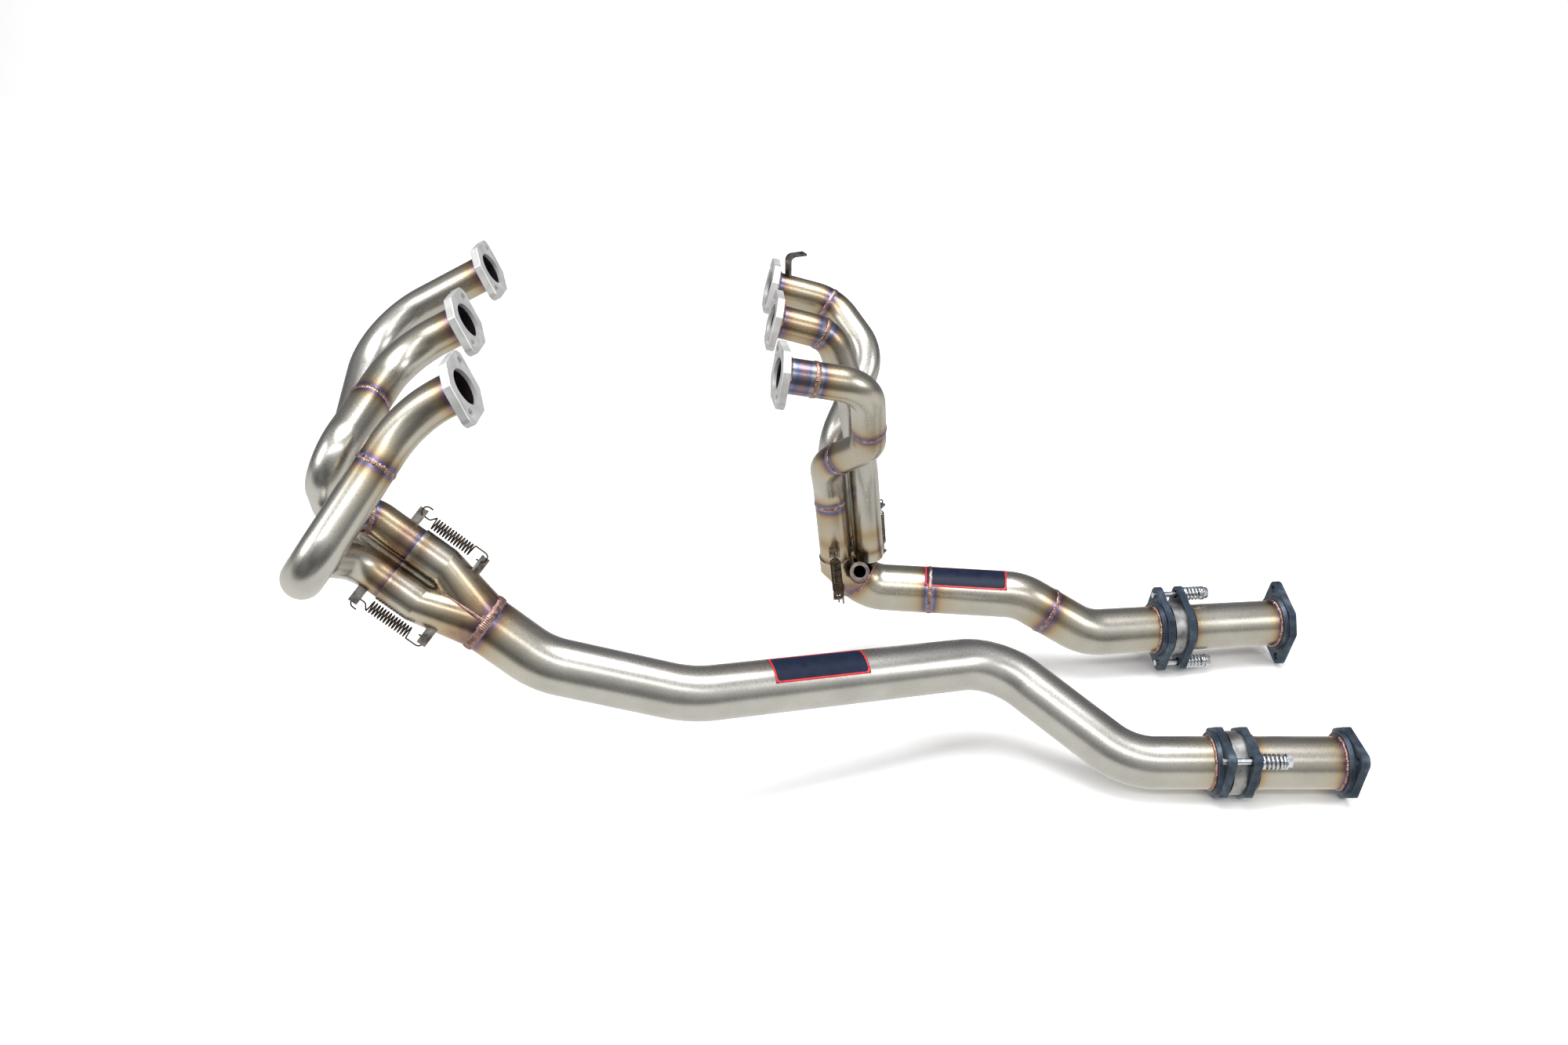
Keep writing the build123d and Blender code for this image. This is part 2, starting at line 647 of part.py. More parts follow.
sensor_thread = cylinder_between(SENSOR_MOUTH, sensor_floor, SENSOR_THREAD_R)
sensor_drill = sensor_thread + cylinder_between(sensor_floor, sensor_end, SENSOR_BORE_R)
sensor_shell = sensor_blank - rear_skin - sensor_drill
with BuildPart() as rear_sensor_boss:
    add(sensor_shell.solids().sort_by_distance(SENSOR_MOUTH)[0])
rear_collector = merge_collector(REAR_BUNDLE, rear_outlet_plane, sensor_drill)

REAR_SPRING_ANGLES = (160.0, 305.0, 350.0)
REAR_TAB_STATIONS = (26.0, 45.0, 30.0)
rear_frames = [
    slip_plane(REAR_BUNDLE, angle, spring, station)
    for angle, spring, station in zip(SLEEVE_ANGLES, REAR_SPRING_ANGLES, REAR_TAB_STATIONS)
]
rear_slip_spring_1 = slip_spring(rear_frames[0])
rear_slip_spring_2 = slip_spring(rear_frames[1])
rear_slip_spring_3 = slip_spring(rear_frames[2])
rear_primary_tab_1 = primary_tab(rear_points[0], REAR_ROUTES[0][3], rear_frames[0])
rear_primary_tab_2 = primary_tab(rear_points[1], REAR_ROUTES[1][3], rear_frames[1])
rear_primary_tab_3 = primary_tab(rear_points[2], REAR_ROUTES[2][3], rear_frames[2])
rear_blanks = [collector_tab(tab_frame, REAR_TAB_FOOT) for tab_frame in rear_frames]
rear_elbow = solid_rod(REAR_PIPE, REAR_BENDS, PIPE_R + GAP)
with BuildPart() as rear_collector_tabs:
    for blank in rear_blanks:
        add(blank)
    add(rear_skin, mode=Mode.SUBTRACT)
    add(rear_elbow.part, mode=Mode.SUBTRACT)

# A cranked strip on the third primary carries a cable clip.
STRIP_THICK = 3.0
STRIP_WIDTH = 14.0
STRIP_FOOT = Vector(-533, 392, 508)
STRIP_RISE = 45.0
STRIP_REACH = 22.0
STRIP_HOLE_R = 3.25
STRIP_TURN = 25.0
STRIP_BEND_R = 6.0
strip_out = Vector(cos(radians(STRIP_TURN)), sin(radians(STRIP_TURN)), 0)
strip_across = strip_out.cross(Vector(0, 0, 1))
STRIP_HOLE = STRIP_FOOT + strip_out * (STRIP_REACH - STRIP_WIDTH / 2) + Vector(0, 0, STRIP_RISE)
strip_saddle = solid_rod(rear_points[2], REAR_ROUTES[2][3], PRIMARY_R + GAP)
strip_plane = Plane(origin=STRIP_FOOT, x_dir=strip_out, z_dir=strip_across)
with BuildPart() as rear_bracket:
    with BuildSketch(strip_plane.offset(-STRIP_WIDTH / 2)):
        with BuildLine():
            FilletPolyline((0, 0), (0, STRIP_RISE), (STRIP_REACH, STRIP_RISE), radius=STRIP_BEND_R)
            offset(amount=STRIP_THICK, side=Side.LEFT)
        make_face()
    extrude(amount=STRIP_WIDTH)
    with Locations(STRIP_HOLE):
        Cylinder(STRIP_HOLE_R, 4 * STRIP_THICK, mode=Mode.SUBTRACT)
    add(strip_saddle.part, mode=Mode.SUBTRACT)

rear_ball_end = ball_end(REAR_AXIS)
rear_joint_flange = pipe_flange(REAR_AXIS, WELD_FLANGE_FACE - JOINT_THICK, BOLT_R, 0.0, PIPE_R + GAP)
rear_seal_ring = sealing_ring(REAR_AXIS)
rear_floating_flange = floating_flange(REAR_AXIS)
rear_tail_tube = tail_tube(REAR_AXIS, REAR_TAIL)
rear_tail_flange = pipe_flange(REAR_AXIS, REAR_TAIL, TAIL_HOLE_R, SEAT_LIP, PIPE_R - PIPE_WALL)
rear_joint_bolts = joint_bolts(REAR_AXIS)
rear_joint_springs = joint_springs(REAR_AXIS)
rear_label = label_patch(REAR_PIPE[1], REAR_PIPE[2], 72.0, 110.0)

ORIGIN = FRONT_AXIS.origin + FRONT_AXIS.z_dir * (FRONT_TAIL + JOINT_THICK)

parts_to_write = {
    "front_port_flange_1": front_port_flange_1,
    "front_port_flange_2": front_port_flange_2,
    "front_port_flange_3": front_port_flange_3,
    "front_primary_1": front_primary_1,
    "front_primary_2": front_primary_2,
    "front_primary_3": front_primary_3,
    "front_primary_tab_1": front_primary_tab_1,
    "front_primary_tab_2": front_primary_tab_2,
    "front_primary_tab_3": front_primary_tab_3,
    "front_slip_spring_1": front_slip_spring_1,
    "front_slip_spring_2": front_slip_spring_2,
    "front_slip_spring_3": front_slip_spring_3,
    "front_collector": front_collector,
    "front_collector_tabs": front_collector_tabs,
    "front_downpipe": front_downpipe,
    "front_label": front_label,
    "front_ball_end": front_ball_end,
    "front_joint_flange": front_joint_flange,
    "front_seal_ring": front_seal_ring,
    "front_floating_flange": front_floating_flange,
    "front_tail_tube": front_tail_tube,
    "front_tail_flange": front_tail_flange,
    "front_joint_bolts": front_joint_bolts,
    "front_joint_springs": front_joint_springs,
    "rear_port_flange_1": rear_port_flange_1,
    "rear_port_flange_2": rear_port_flange_2,
    "rear_port_flange_3": rear_port_flange_3,
    "rear_primary_1": rear_primary_1,
    "rear_primary_2": rear_primary_2,
    "rear_primary_3": rear_primary_3,
    "rear_primary_tab_1": rear_primary_tab_1,
    "rear_primary_tab_2": rear_primary_tab_2,
    "rear_primary_tab_3": rear_primary_tab_3,
    "rear_slip_spring_1": rear_slip_spring_1,
    "rear_slip_spring_2": rear_slip_spring_2,
    "rear_slip_spring_3": rear_slip_spring_3,
    "rear_collector": rear_collector,
    "rear_collector_tabs": rear_collector_tabs,
    "rear_sensor_boss": rear_sensor_boss,
    "rear_bracket": rear_bracket,
    "rear_downpipe": rear_downpipe,
    "rear_label": rear_label,
    "rear_ball_end": rear_ball_end,
    "rear_joint_flange": rear_joint_flange,
    "rear_seal_ring": rear_seal_ring,
    "rear_floating_flange": rear_floating_flange,
    "rear_tail_tube": rear_tail_tube,
    "rear_tail_flange": rear_tail_flange,
    "rear_joint_bolts": rear_joint_bolts,
    "rear_joint_springs": rear_joint_springs,
}


def write_parts():
    """one STEP file for each named piece, with the front outlet face at the origin"""
    os.makedirs("parts", exist_ok=True)
    shift = Location(ORIGIN * -1)
    for name, item in parts_to_write.items():
        print(name, round(item.part.volume, 1), len(item.part.solids()), item.part.is_valid)
        placed = item.part.moved(shift)
        placed.label = name
        export_step(placed, f"parts/{name}.step")


write_parts()
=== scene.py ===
"""Looks of a two-bank racing exhaust: bent stainless tubes, weld beads, springs and blued flanges."""
import math

import bpy
from mathutils import Matrix, Vector
from mathutils.bvhtree import BVHTree


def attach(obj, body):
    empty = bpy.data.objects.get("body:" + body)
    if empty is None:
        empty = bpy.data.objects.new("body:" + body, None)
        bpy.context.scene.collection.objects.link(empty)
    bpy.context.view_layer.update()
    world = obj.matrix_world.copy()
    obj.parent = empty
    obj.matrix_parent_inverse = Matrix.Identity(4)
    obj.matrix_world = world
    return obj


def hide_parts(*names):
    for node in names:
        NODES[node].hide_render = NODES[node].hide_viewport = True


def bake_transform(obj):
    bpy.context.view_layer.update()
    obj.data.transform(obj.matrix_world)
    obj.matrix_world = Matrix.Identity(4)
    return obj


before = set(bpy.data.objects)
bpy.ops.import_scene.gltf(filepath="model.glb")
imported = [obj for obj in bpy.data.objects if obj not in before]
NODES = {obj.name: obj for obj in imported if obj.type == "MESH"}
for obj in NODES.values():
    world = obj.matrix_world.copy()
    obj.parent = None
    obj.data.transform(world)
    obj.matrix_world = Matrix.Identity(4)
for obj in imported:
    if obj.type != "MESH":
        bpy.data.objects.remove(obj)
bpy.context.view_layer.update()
MM = 0.001

# The layout is drawn in millimetres from a point on the ground, then moved to the row's origin.
ORIGIN = Vector((143.5, 0.0, 43.0))
PRIMARY_R = 20.0
PIPE_R = 31.75
WALL = 1.5
SKIN_INSET = 0.05
SLEEVE_SPACING = 47.5
AROUND = 72
STEP = 2.5


def row(point):
    """layout millimetres to the row's metres"""
    return (Vector(point) - ORIGIN) * MM


def unit(v):
    return Vector(v).normalized()


# ---------------------------------------------------------------- centre lines


def fillet_path(corners, radii, step=STEP):
    """evenly spaced points along straight runs joined by round bends"""
    corners = [Vector(c) for c in corners]
    marks = [corners[0]]
    for i in range(1, len(corners) - 1):
        back = (corners[i - 1] - corners[i]).normalized()
        ahead = (corners[i + 1] - corners[i]).normalized()
        turn = math.pi - back.angle(ahead)
        radius = radii[i - 1]
        reach = radius * math.tan(turn / 2)
        centre = corners[i] + (back + ahead).normalized() * radius / math.cos(turn / 2)
        start = corners[i] + back * reach
        arm = start - centre
        axis = back.cross(ahead).normalized() * -1
        count = max(4, int(radius * turn / step))
        for k in range(count + 1):
            marks.append(centre + Matrix.Rotation(turn * k / count, 3, axis) @ arm)
    marks.append(corners[-1])
    points = [marks[0]]
    for a, b in zip(marks, marks[1:]):
        parts = max(1, int((b - a).length / step))
        for k in range(1, parts + 1):
            points.append(a.lerp(b, k / parts))
    return points


def arc_lengths(points):
    total = [0.0]
    for a, b in zip(points, points[1:]):
        total.append(total[-1] + (b - a).length)
    return total


def rings_frames(points):
    """a tangent and two cross directions at every point, turned as little as possible"""
    tangents = []
    for i in range(len(points)):
        a = points[max(0, i - 1)]
        b = points[min(len(points) - 1, i + 1)]
        tangents.append((b - a).normalized())
    side = tangents[0].orthogonal().normalized()
    frames = []
    for tangent in tangents:
        side = (side - tangent * side.dot(tangent)).normalized()
        frames.append((tangent, side, tangent.cross(side)))
    return frames


class Bundle:
    """three parallel sleeves round one axis"""

    def __init__(self, centre, up, away):
        self.centre = Vector(centre)
        self.up = unit(up)
        self.away = (Vector(away) - self.up * self.up.dot(Vector(away))).normalized()
        self.side = self.up.cross(self.away).normalized()

    def radial(self, angle):
        return self.away * math.cos(math.radians(angle)) + self.side * math.sin(math.radians(angle))

    def along(self, angle, distance):
        return self.centre + self.radial(angle) * SLEEVE_SPACING / math.sqrt(3) + self.up * distance


SLEEVE_ANGLES = (120.0, 240.0, 0.0)
# How far the primaries reach into the sleeves at rest, in millimetres.
FRONT_INSERT = 30.0
REAR_INSERT = 16.0

FRONT_NORMALS = [unit((math.cos(math.radians(27)), 0, math.sin(math.radians(27))))] * 3
FRONT_PORTS = ((-843, -118, 573), (-873, 36, 585), (-886, 218, 585))
FRONT_OUTLET = Vector((-866, -48, 274))
FRONT_UP = unit((-0.775, 0.10, 0.624))
FRONT_BUNDLE = Bundle(FRONT_OUTLET + FRONT_UP * 108, FRONT_UP, (-0.283, 0.828, -0.484))
FRONT_ROUTES = (
    (54.0, ((-984, -230, 423), (-1013, -100, 385)), 37.5, (100.0, 42.0, 39.0, 46.0)),
    (74.5, ((-974, -141, 500), (-1008, -45, 409)), 52.0, (63.0, 33.0, 37.0, 34.0)),
    (155.0, ((-1017, 24, 431),), 54.5, (84.0, 50.0, 68.0)),
)
REAR_NORMALS = [unit((-0.965, -0.15, 0.21)), unit((-0.955, -0.07, 0.28)), unit((-0.955, -0.07, 0.28))]
REAR_PORTS = ((-539, 75, 513), (-547, 240, 518), (-552, 391, 513))
REAR_UP = unit((-0.10, -0.15, 0.98))
REAR_BUNDLE = Bundle((-454, 274, 193), REAR_UP, (-0.34, 0.94, 0.11))
REAR_ROUTES = (
    (94.0, ((-439, 146, 397), (-489, 192, 351)), 110.0, (44.0, 38.0, 50.0, 56.0)),
    (65.0, ((-453, 250, 412),), 114.0, (43.0, 79.0, 90.0)),
    (80.0, ((-426, 348, 435),), 147.0, (58.0, 58.0, 57.0)),
)
PORT_SOCKET = 5.0


def primary_corners(port, normal, route, bundle, angle, insert):
    first, corners, last, _ = route
    return (
        Vector(port) + normal * PORT_SOCKET,
        Vector(port) - normal * first,
        *corners,
        bundle.along(angle, last),
        bundle.along(angle, -insert),
    )


FRONT_O = Vector((5.5, 0, 43))
FRONT_AXIS = unit((1, 0, 0))
FRONT_BOLT_LINE = unit((0, -math.cos(math.radians(40)), math.sin(math.radians(40))))
FRONT_TAIL = 128.0
REAR_O = Vector((3, 270, 62))
REAR_AXIS = unit((0.9898, 0.1391, -0.03))
REAR_BOLT_LINE = unit((0.013, 0.469, 0.883))
REAR_TAIL = 149.0
GAP = 0.02
BALL_START = -13.5
FRONT_PIPE = (
    FRONT_OUTLET - FRONT_UP * GAP,
    FRONT_OUTLET - FRONT_UP * 77,
    (-645, -42, 173),
    (-276, 102, 121),
    (-124, 0, 43),
    FRONT_O + FRONT_AXIS * (BALL_START - GAP),
)
FRONT_BENDS = (110.0, 160.0, 95.0, 95.0)
REAR_CORNER = REAR_BUNDLE.centre - REAR_UP * 72
REAR_BEND_2 = Vector((-219, 263, 120))
REAR_RUN = (REAR_BEND_2 - REAR_CORNER).normalized()
REAR_OUT = (REAR_RUN - REAR_UP).normalized()
REAR_BEND_1 = REAR_CORNER + REAR_RUN * 27
REAR_OUTLET = REAR_BEND_1 - REAR_OUT * 25
REAR_PIPE = (
    REAR_OUTLET + REAR_OUT * GAP,
    REAR_BEND_1,
    REAR_BEND_2,
    REAR_O - REAR_AXIS * 130,
    REAR_O + REAR_AXIS * (BALL_START - GAP),
)
REAR_BENDS = (50.0, 70.0, 80.0)

# ------------------------------------------------------------------- materials


def new_material(name):
    material = bpy.data.materials.new(name)
    material.use_nodes = True
    tree = material.node_tree
    return material, tree, tree.nodes["Principled BSDF"]


def add_node(tree, kind, **values):
    node = tree.nodes.new(kind)
    for key, value in values.items():
        setattr(node, key, value)
    return node


def noise(tree, scale, detail, vector=None):
    node = add_node(tree, "ShaderNodeTexNoise")
    node.inputs["Scale"].default_value = scale
    node.inputs["Detail"].default_value = detail
    if vector is not None:
        tree.links.new(vector, node.inputs["Vector"])
    return node.outputs["Fac"]


def ramp(tree, factor, stops):
    node = add_node(tree, "ShaderNodeValToRGB")
    elements = node.color_ramp.elements
    elements.remove(elements[1])
    elements[0].position = stops[0][0]
    elements[0].color = (*stops[0][1], 1.0)
    for place, colour in stops[1:]:
        elements.new(place).color = (*colour, 1.0)
    tree.links.new(factor, node.inputs["Fac"])
    return node.outputs["Color"]


def spread(tree, factor, low, high):
    node = add_node(tree, "ShaderNodeMapRange")
    node.inputs["To Min"].default_value = low
    node.inputs["To Max"].default_value = high
    tree.links.new(factor, node.inputs["Value"])
    return node.outputs["Result"]


def blend_colour(tree, kind, factor, first, second):
    node = add_node(tree, "ShaderNodeMix", data_type="RGBA", blend_type=kind)
    if isinstance(factor, float):
        node.inputs[0].default_value = factor
    else:
        tree.links.new(factor, node.inputs[0])
    for socket, value in ((node.inputs[6], first), (node.inputs[7], second)):
        if isinstance(value, tuple):
            socket.default_value = (*value, 1.0)
        else:
            tree.links.new(value, socket)
    return node.outputs[2]


def bump(tree, height, strength, distance, shader):
    node = add_node(tree, "ShaderNodeBump")
    node.inputs["Strength"].default_value = strength
    node.inputs["Distance"].default_value = distance
    tree.links.new(height, node.inputs["Height"])
    tree.links.new(node.outputs["Normal"], shader.inputs["Normal"])


def attribute(tree, name):
    node = add_node(tree, "ShaderNodeAttribute", attribute_name=name)
    return node.outputs["Fac"]


# Oxide colours of stainless steel, from bare metal to the weld's edge; the same colours also paint the shade
# line at each sleeve's mouth.
TINTS = (
    (0.00, (0.53, 0.52, 0.49)),
    (0.16, (0.51, 0.475, 0.40)),
    (0.32, (0.47, 0.38, 0.25)),
    (0.48, (0.37, 0.26, 0.17)),
    (0.62, (0.25, 0.165, 0.18)),
    (0.76, (0.13, 0.15, 0.26)),
    (0.90, (0.24, 0.27, 0.33)),
    (1.00, (0.30, 0.24, 0.22)),
)


def tube_material():
    """satin stainless with heat tint and the painted shade line at the sleeve mouths, both carried by one
    attribute
    """
    material, tree, shader = new_material("satin_stainless_tube")
    coords = add_node(tree, "ShaderNodeTexCoord").outputs["Object"]
    run = attribute(tree, "run")
    around = attribute(tree, "around")
    brushed = add_node(tree, "ShaderNodeCombineXYZ")
    tree.links.new(spread(tree, run, 0.0, 260.0), brushed.inputs["X"])
    tree.links.new(spread(tree, around, 0.0, 3.0), brushed.inputs["Y"])
    lines = noise(tree, 6.0, 6.0, brushed.outputs["Vector"])
    blotch = noise(tree, 22.0, 5.0, coords)
    tint_and_shade_marks = attribute(tree, "weld_tint_and_shade")
    wander = add_node(tree, "ShaderNodeMath", operation="MULTIPLY_ADD")
    tree.links.new(spread(tree, blotch, -0.30, 0.30), wander.inputs[0])
    tree.links.new(tint_and_shade_marks, wander.inputs[1])
    tree.links.new(tint_and_shade_marks, wander.inputs[2])
    colour = ramp(tree, wander.outputs[0], TINTS)
    shade = ramp(tree, blotch, ((0.30, (0.80, 0.79, 0.77)), (0.70, (1.0, 1.0, 1.0))))
    colour = blend_colour(tree, "MULTIPLY", 0.8, colour, shade)
    streak = ramp(tree, lines, ((0.35, (0.86, 0.86, 0.86)), (0.65, (1.0, 1.0, 1.0))))
    colour = blend_colour(tree, "MULTIPLY", 0.5, colour, streak)
    tree.links.new(colour, shader.inputs["Base Color"])
    shader.inputs["Metallic"].default_value = 1.0
    tree.links.new(spread(tree, lines, 0.20, 0.38), shader.inputs["Roughness"])
    bump(tree, lines, 0.06, 0.0006, shader)
    return material


def plain_metal(name, dark, light, rough, scale, grain, depth, metallic=1.0):
    """metal with mottled colour, uneven polish and a fine grain"""
    material, tree, shader = new_material(name)
    coords = add_node(tree, "ShaderNodeTexCoord").outputs["Object"]
    mottle = noise(tree, scale, 6.0, coords)
    colour = ramp(tree, mottle, ((0.32, dark), (0.68, light)))
    tree.links.new(colour, shader.inputs["Base Color"])
    shader.inputs["Metallic"].default_value = metallic
    tree.links.new(spread(tree, mottle, rough[0], rough[1]), shader.inputs["Roughness"])
    bump(tree, noise(tree, grain, 8.0, coords), depth, 0.0005, shader)
    return material


def flange_material():
    """blue-black heat scale, paler along the worn edges"""
    material, tree, shader = new_material("blued_flange_steel")
    coords = add_node(tree, "ShaderNodeTexCoord").outputs["Object"]
    cloud = noise(tree, 45.0, 8.0, coords)
    scale = ramp(tree, cloud, ((0.34, (0.020, 0.030, 0.048)), (0.50, (0.040, 0.058, 0.085)),
                               (0.62, (0.080, 0.105, 0.14)), (0.76, (0.16, 0.18, 0.20))))
    rounded = add_node(tree, "ShaderNodeBevel", samples=6)
    rounded.inputs["Radius"].default_value = 0.0012
    flat = add_node(tree, "ShaderNodeNewGeometry").outputs["Normal"]
    agree = add_node(tree, "ShaderNodeVectorMath", operation="DOT_PRODUCT")
    tree.links.new(rounded.outputs["Normal"], agree.inputs[0])
    tree.links.new(flat, agree.inputs[1])
    worn = ramp(tree, agree.outputs["Value"], ((0.80, (0.85, 0.85, 0.85)), (0.97, (0.0, 0.0, 0.0))))
    colour = blend_colour(tree, "MIX", worn, scale, (0.15, 0.17, 0.19))
    tree.links.new(colour, shader.inputs["Base Color"])
    shader.inputs["Metallic"].default_value = 0.7
    tree.links.new(spread(tree, cloud, 0.62, 0.38), shader.inputs["Roughness"])
    bump(tree, noise(tree, 320.0, 8.0, coords), 0.35, 0.0006, shader)
    return material


def weld_material():
    """rippled weld metal, from copper to violet"""
    material, tree, shader = new_material("weld_bead")
    coords = add_node(tree, "ShaderNodeTexCoord").outputs["Object"]
    cloud = noise(tree, 160.0, 5.0, coords)
    colour = ramp(tree, cloud, ((0.30, (0.10, 0.08, 0.13)), (0.44, (0.26, 0.15, 0.13)),
                                (0.57, (0.38, 0.23, 0.19)), (0.72, (0.46, 0.38, 0.34))))
    tree.links.new(colour, shader.inputs["Base Color"])
    shader.inputs["Metallic"].default_value = 1.0
    tree.links.new(spread(tree, cloud, 0.24, 0.46), shader.inputs["Roughness"])
    bump(tree, noise(tree, 700.0, 4.0, coords), 0.25, 0.0004, shader)
    return material


def collector_material(name, outlet, direction, length):
    """satin stainless that darkens towards the merge weld"""
    material, tree, shader = new_material(name)
    coords = add_node(tree, "ShaderNodeTexCoord").outputs["Object"]
    offset = add_node(tree, "ShaderNodeVectorMath", operation="SUBTRACT")
    tree.links.new(coords, offset.inputs[0])
    offset.inputs[1].default_value = row(outlet)
    along = add_node(tree, "ShaderNodeVectorMath", operation="DOT_PRODUCT")
    tree.links.new(offset.outputs["Vector"], along.inputs[0])
    along.inputs[1].default_value = unit(direction)
    place = add_node(tree, "ShaderNodeMapRange")
    tree.links.new(along.outputs["Value"], place.inputs["Value"])
    place.inputs["From Max"].default_value = length * MM
    blotch = noise(tree, 60.0, 6.0, coords)
    wander = add_node(tree, "ShaderNodeMath", operation="ADD")
    tree.links.new(place.outputs["Result"], wander.inputs[0])
    tree.links.new(spread(tree, blotch, -0.14, 0.14), wander.inputs[1])
    colour = ramp(tree, wander.outputs[0], (
        (0.00, (0.15, 0.11, 0.15)), (0.05, (0.24, 0.15, 0.13)), (0.14, (0.36, 0.26, 0.16)),
        (0.30, (0.44, 0.37, 0.26)), (0.60, (0.50, 0.47, 0.41)), (0.74, (0.32, 0.24, 0.16)),
        (0.79, (0.54, 0.52, 0.48)), (0.94, (0.58, 0.57, 0.54)), (1.00, (0.30, 0.23, 0.16))))
    tree.links.new(colour, shader.inputs["Base Color"])
    shader.inputs["Metallic"].default_value = 1.0
    tree.links.new(spread(tree, blotch, 0.20, 0.36), shader.inputs["Roughness"])
    bump(tree, noise(tree, 500.0, 4.0, coords), 0.05, 0.0004, shader)
    return material


def label_material():
    """dark plate; the red edge is a separate raised rim"""
    material, tree, shader = new_material("label_face")
    coords = add_node(tree, "ShaderNodeTexCoord").outputs["Object"]
    cloud = noise(tree, 90.0, 4.0, coords)
    colour = ramp(tree, cloud, ((0.30, (0.004, 0.008, 0.024)), (0.70, (0.008, 0.015, 0.040))))
    tree.links.new(colour, shader.inputs["Base Color"])
    tree.links.new(spread(tree, cloud, 0.40, 0.55), shader.inputs["Roughness"])
    shader.inputs["Specular IOR Level"].default_value = 0.18
    bump(tree, noise(tree, 400.0, 3.0, coords), 0.04, 0.0003, shader)
    return material


def rim_material():
    material, tree, shader = new_material("label_rim")
    coords = add_node(tree, "ShaderNodeTexCoord").outputs["Object"]
    cloud = noise(tree, 120.0, 4.0, coords)
    colour = ramp(tree, cloud, ((0.30, (0.45, 0.015, 0.02)), (0.70, (0.58, 0.03, 0.03))))
    tree.links.new(colour, shader.inputs["Base Color"])
    tree.links.new(spread(tree, cloud, 0.30, 0.42), shader.inputs["Roughness"])
    return material


TUBE = tube_material()
WELD = weld_material()
BRIGHT = plain_metal("machined_steel", (0.50, 0.50, 0.49), (0.68, 0.68, 0.68), (0.34, 0.50),
                     60.0, 600.0, 0.08, 0.55)
RING = plain_metal("ring_metal", (0.20, 0.20, 0.20), (0.40, 0.40, 0.40), (0.32, 0.50), 90.0, 500.0, 0.10)
BOSS = plain_metal("boss_steel", (0.05, 0.04, 0.04), (0.20, 0.17, 0.15), (0.25, 0.45), 160.0, 500.0, 0.10)
BLUED = flange_material()
ZINC = plain_metal("zinc_plate", (0.42, 0.45, 0.49), (0.70, 0.72, 0.76), (0.18, 0.32), 150.0, 500.0, 0.05)
BRONZED = plain_metal("tinted_spring_wire", (0.030, 0.022, 0.016), (0.11, 0.085, 0.06), (0.34, 0.50),
                      120.0, 500.0, 0.08)
TAB = plain_metal("tab_steel", (0.08, 0.07, 0.065), (0.32, 0.30, 0.28), (0.26, 0.44), 90.0, 500.0, 0.08)
LABEL = label_material()
RIM = rim_material()

# ---------------------------------------------------------------------- pieces


def make_object(name, vertices, faces, material, values=None, smooth=True):
    mesh = bpy.data.meshes.new(name)
    mesh.from_pydata([tuple(v) for v in vertices], [], faces)
    mesh.update()
    for key, numbers in (values or {}).items():
        layer = mesh.attributes.new(key, "FLOAT", "POINT")
        layer.data.foreach_set("value", numbers)
    mesh.materials.append(material)
    for polygon in mesh.polygons:
        polygon.use_smooth = smooth
    thing = bpy.data.objects.new(name, mesh)
    bpy.context.scene.collection.objects.link(thing)
    return thing


NEAR_REACH = 7.0
NEAR_SHARE = 0.50
WIDE_REACH = 20.0
WIDE_SHARE = 0.48


def tint_and_shade_at(distance, strength, reach):
    """tint left by a weld, and the painted shade line at a sleeve's mouth, at a distance along the tube in
    millimetres
    """
    distance = distance / reach
    near = math.exp(-((distance / NEAR_REACH) ** 2)) * NEAR_SHARE
    wide = math.exp(-distance / WIDE_REACH) * WIDE_SHARE
    return min(1.0, near + wide) * strength


def hollow_tube(name, points, outer, wall, welds, body):
    """outer and inner skins joined at both rims, with weld heat tint and the painted shade at a sleeve's
    mouth stored per ring
    """
    frames = rings_frames(points)
    runs = arc_lengths(points)
    vertices, faces, tint_and_shade_marks, run, around = [], [], [], [], []
    for radius in (outer - SKIN_INSET, outer - wall):
        for point, (_, side, up), s in zip(points, frames, runs):
            tint_and_shade_here = min(1.0, sum(tint_and_shade_at(abs(s - w), k, reach) for w, k, reach in welds))
            for k in range(AROUND):
                angle = 2 * math.pi * k / AROUND
                vertices.append(row(point + (side * math.cos(angle) + up * math.sin(angle)) * radius))
                tint_and_shade_marks.append(tint_and_shade_here)
                run.append(s * MM)
                around.append(abs(k / AROUND - 0.5) * 2)
    count = len(points)
    skin = count * AROUND
    for i in range(count - 1):
        for k in range(AROUND):
            n = (k + 1) % AROUND
            a, b = i * AROUND + k, i * AROUND + n
            faces.append((a, b, b + AROUND, a + AROUND))
            faces.append((skin + a, skin + a + AROUND, skin + b + AROUND, skin + b))
    for k in range(AROUND):
        n = (k + 1) % AROUND
        faces.append((k, skin + k, skin + n, n))
        last = (count - 1) * AROUND
        faces.append((last + k, last + n, skin + last + n, skin + last + k))
    piece = make_object(name, vertices, faces, TUBE, {"weld_tint_and_shade": tint_and_shade_marks, "run": run, "around": around})
    mark_rims_sharp(piece, count, skin)
    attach(piece, body)
    return piece


def mark_rims_sharp(piece, count, skin):
    """the cut ends of a tube stay crisp"""
    rims = {0, (count - 1) * AROUND, skin, skin + (count - 1) * AROUND}
    starts = set()
    for first in rims:
        starts.update(range(first, first + AROUND))
    for edge in piece.data.edges:
        a, b = edge.vertices
        if a in starts and b in starts and (abs(a - b) == 1 or abs(a - b) == AROUND - 1):
            edge.use_edge_sharp = True


DROP_STEPS = 5
BEAD_ACROSS = 8
BEAD_PITCH = 2.3
BEAD_SINK = 0.25
CREASE_PITCH = 2.4
CREASE_WIDTH = 5.5
CREASE_HEIGHT = 1.3
CREASE_SINK = 0.3
ROOT = "headers"


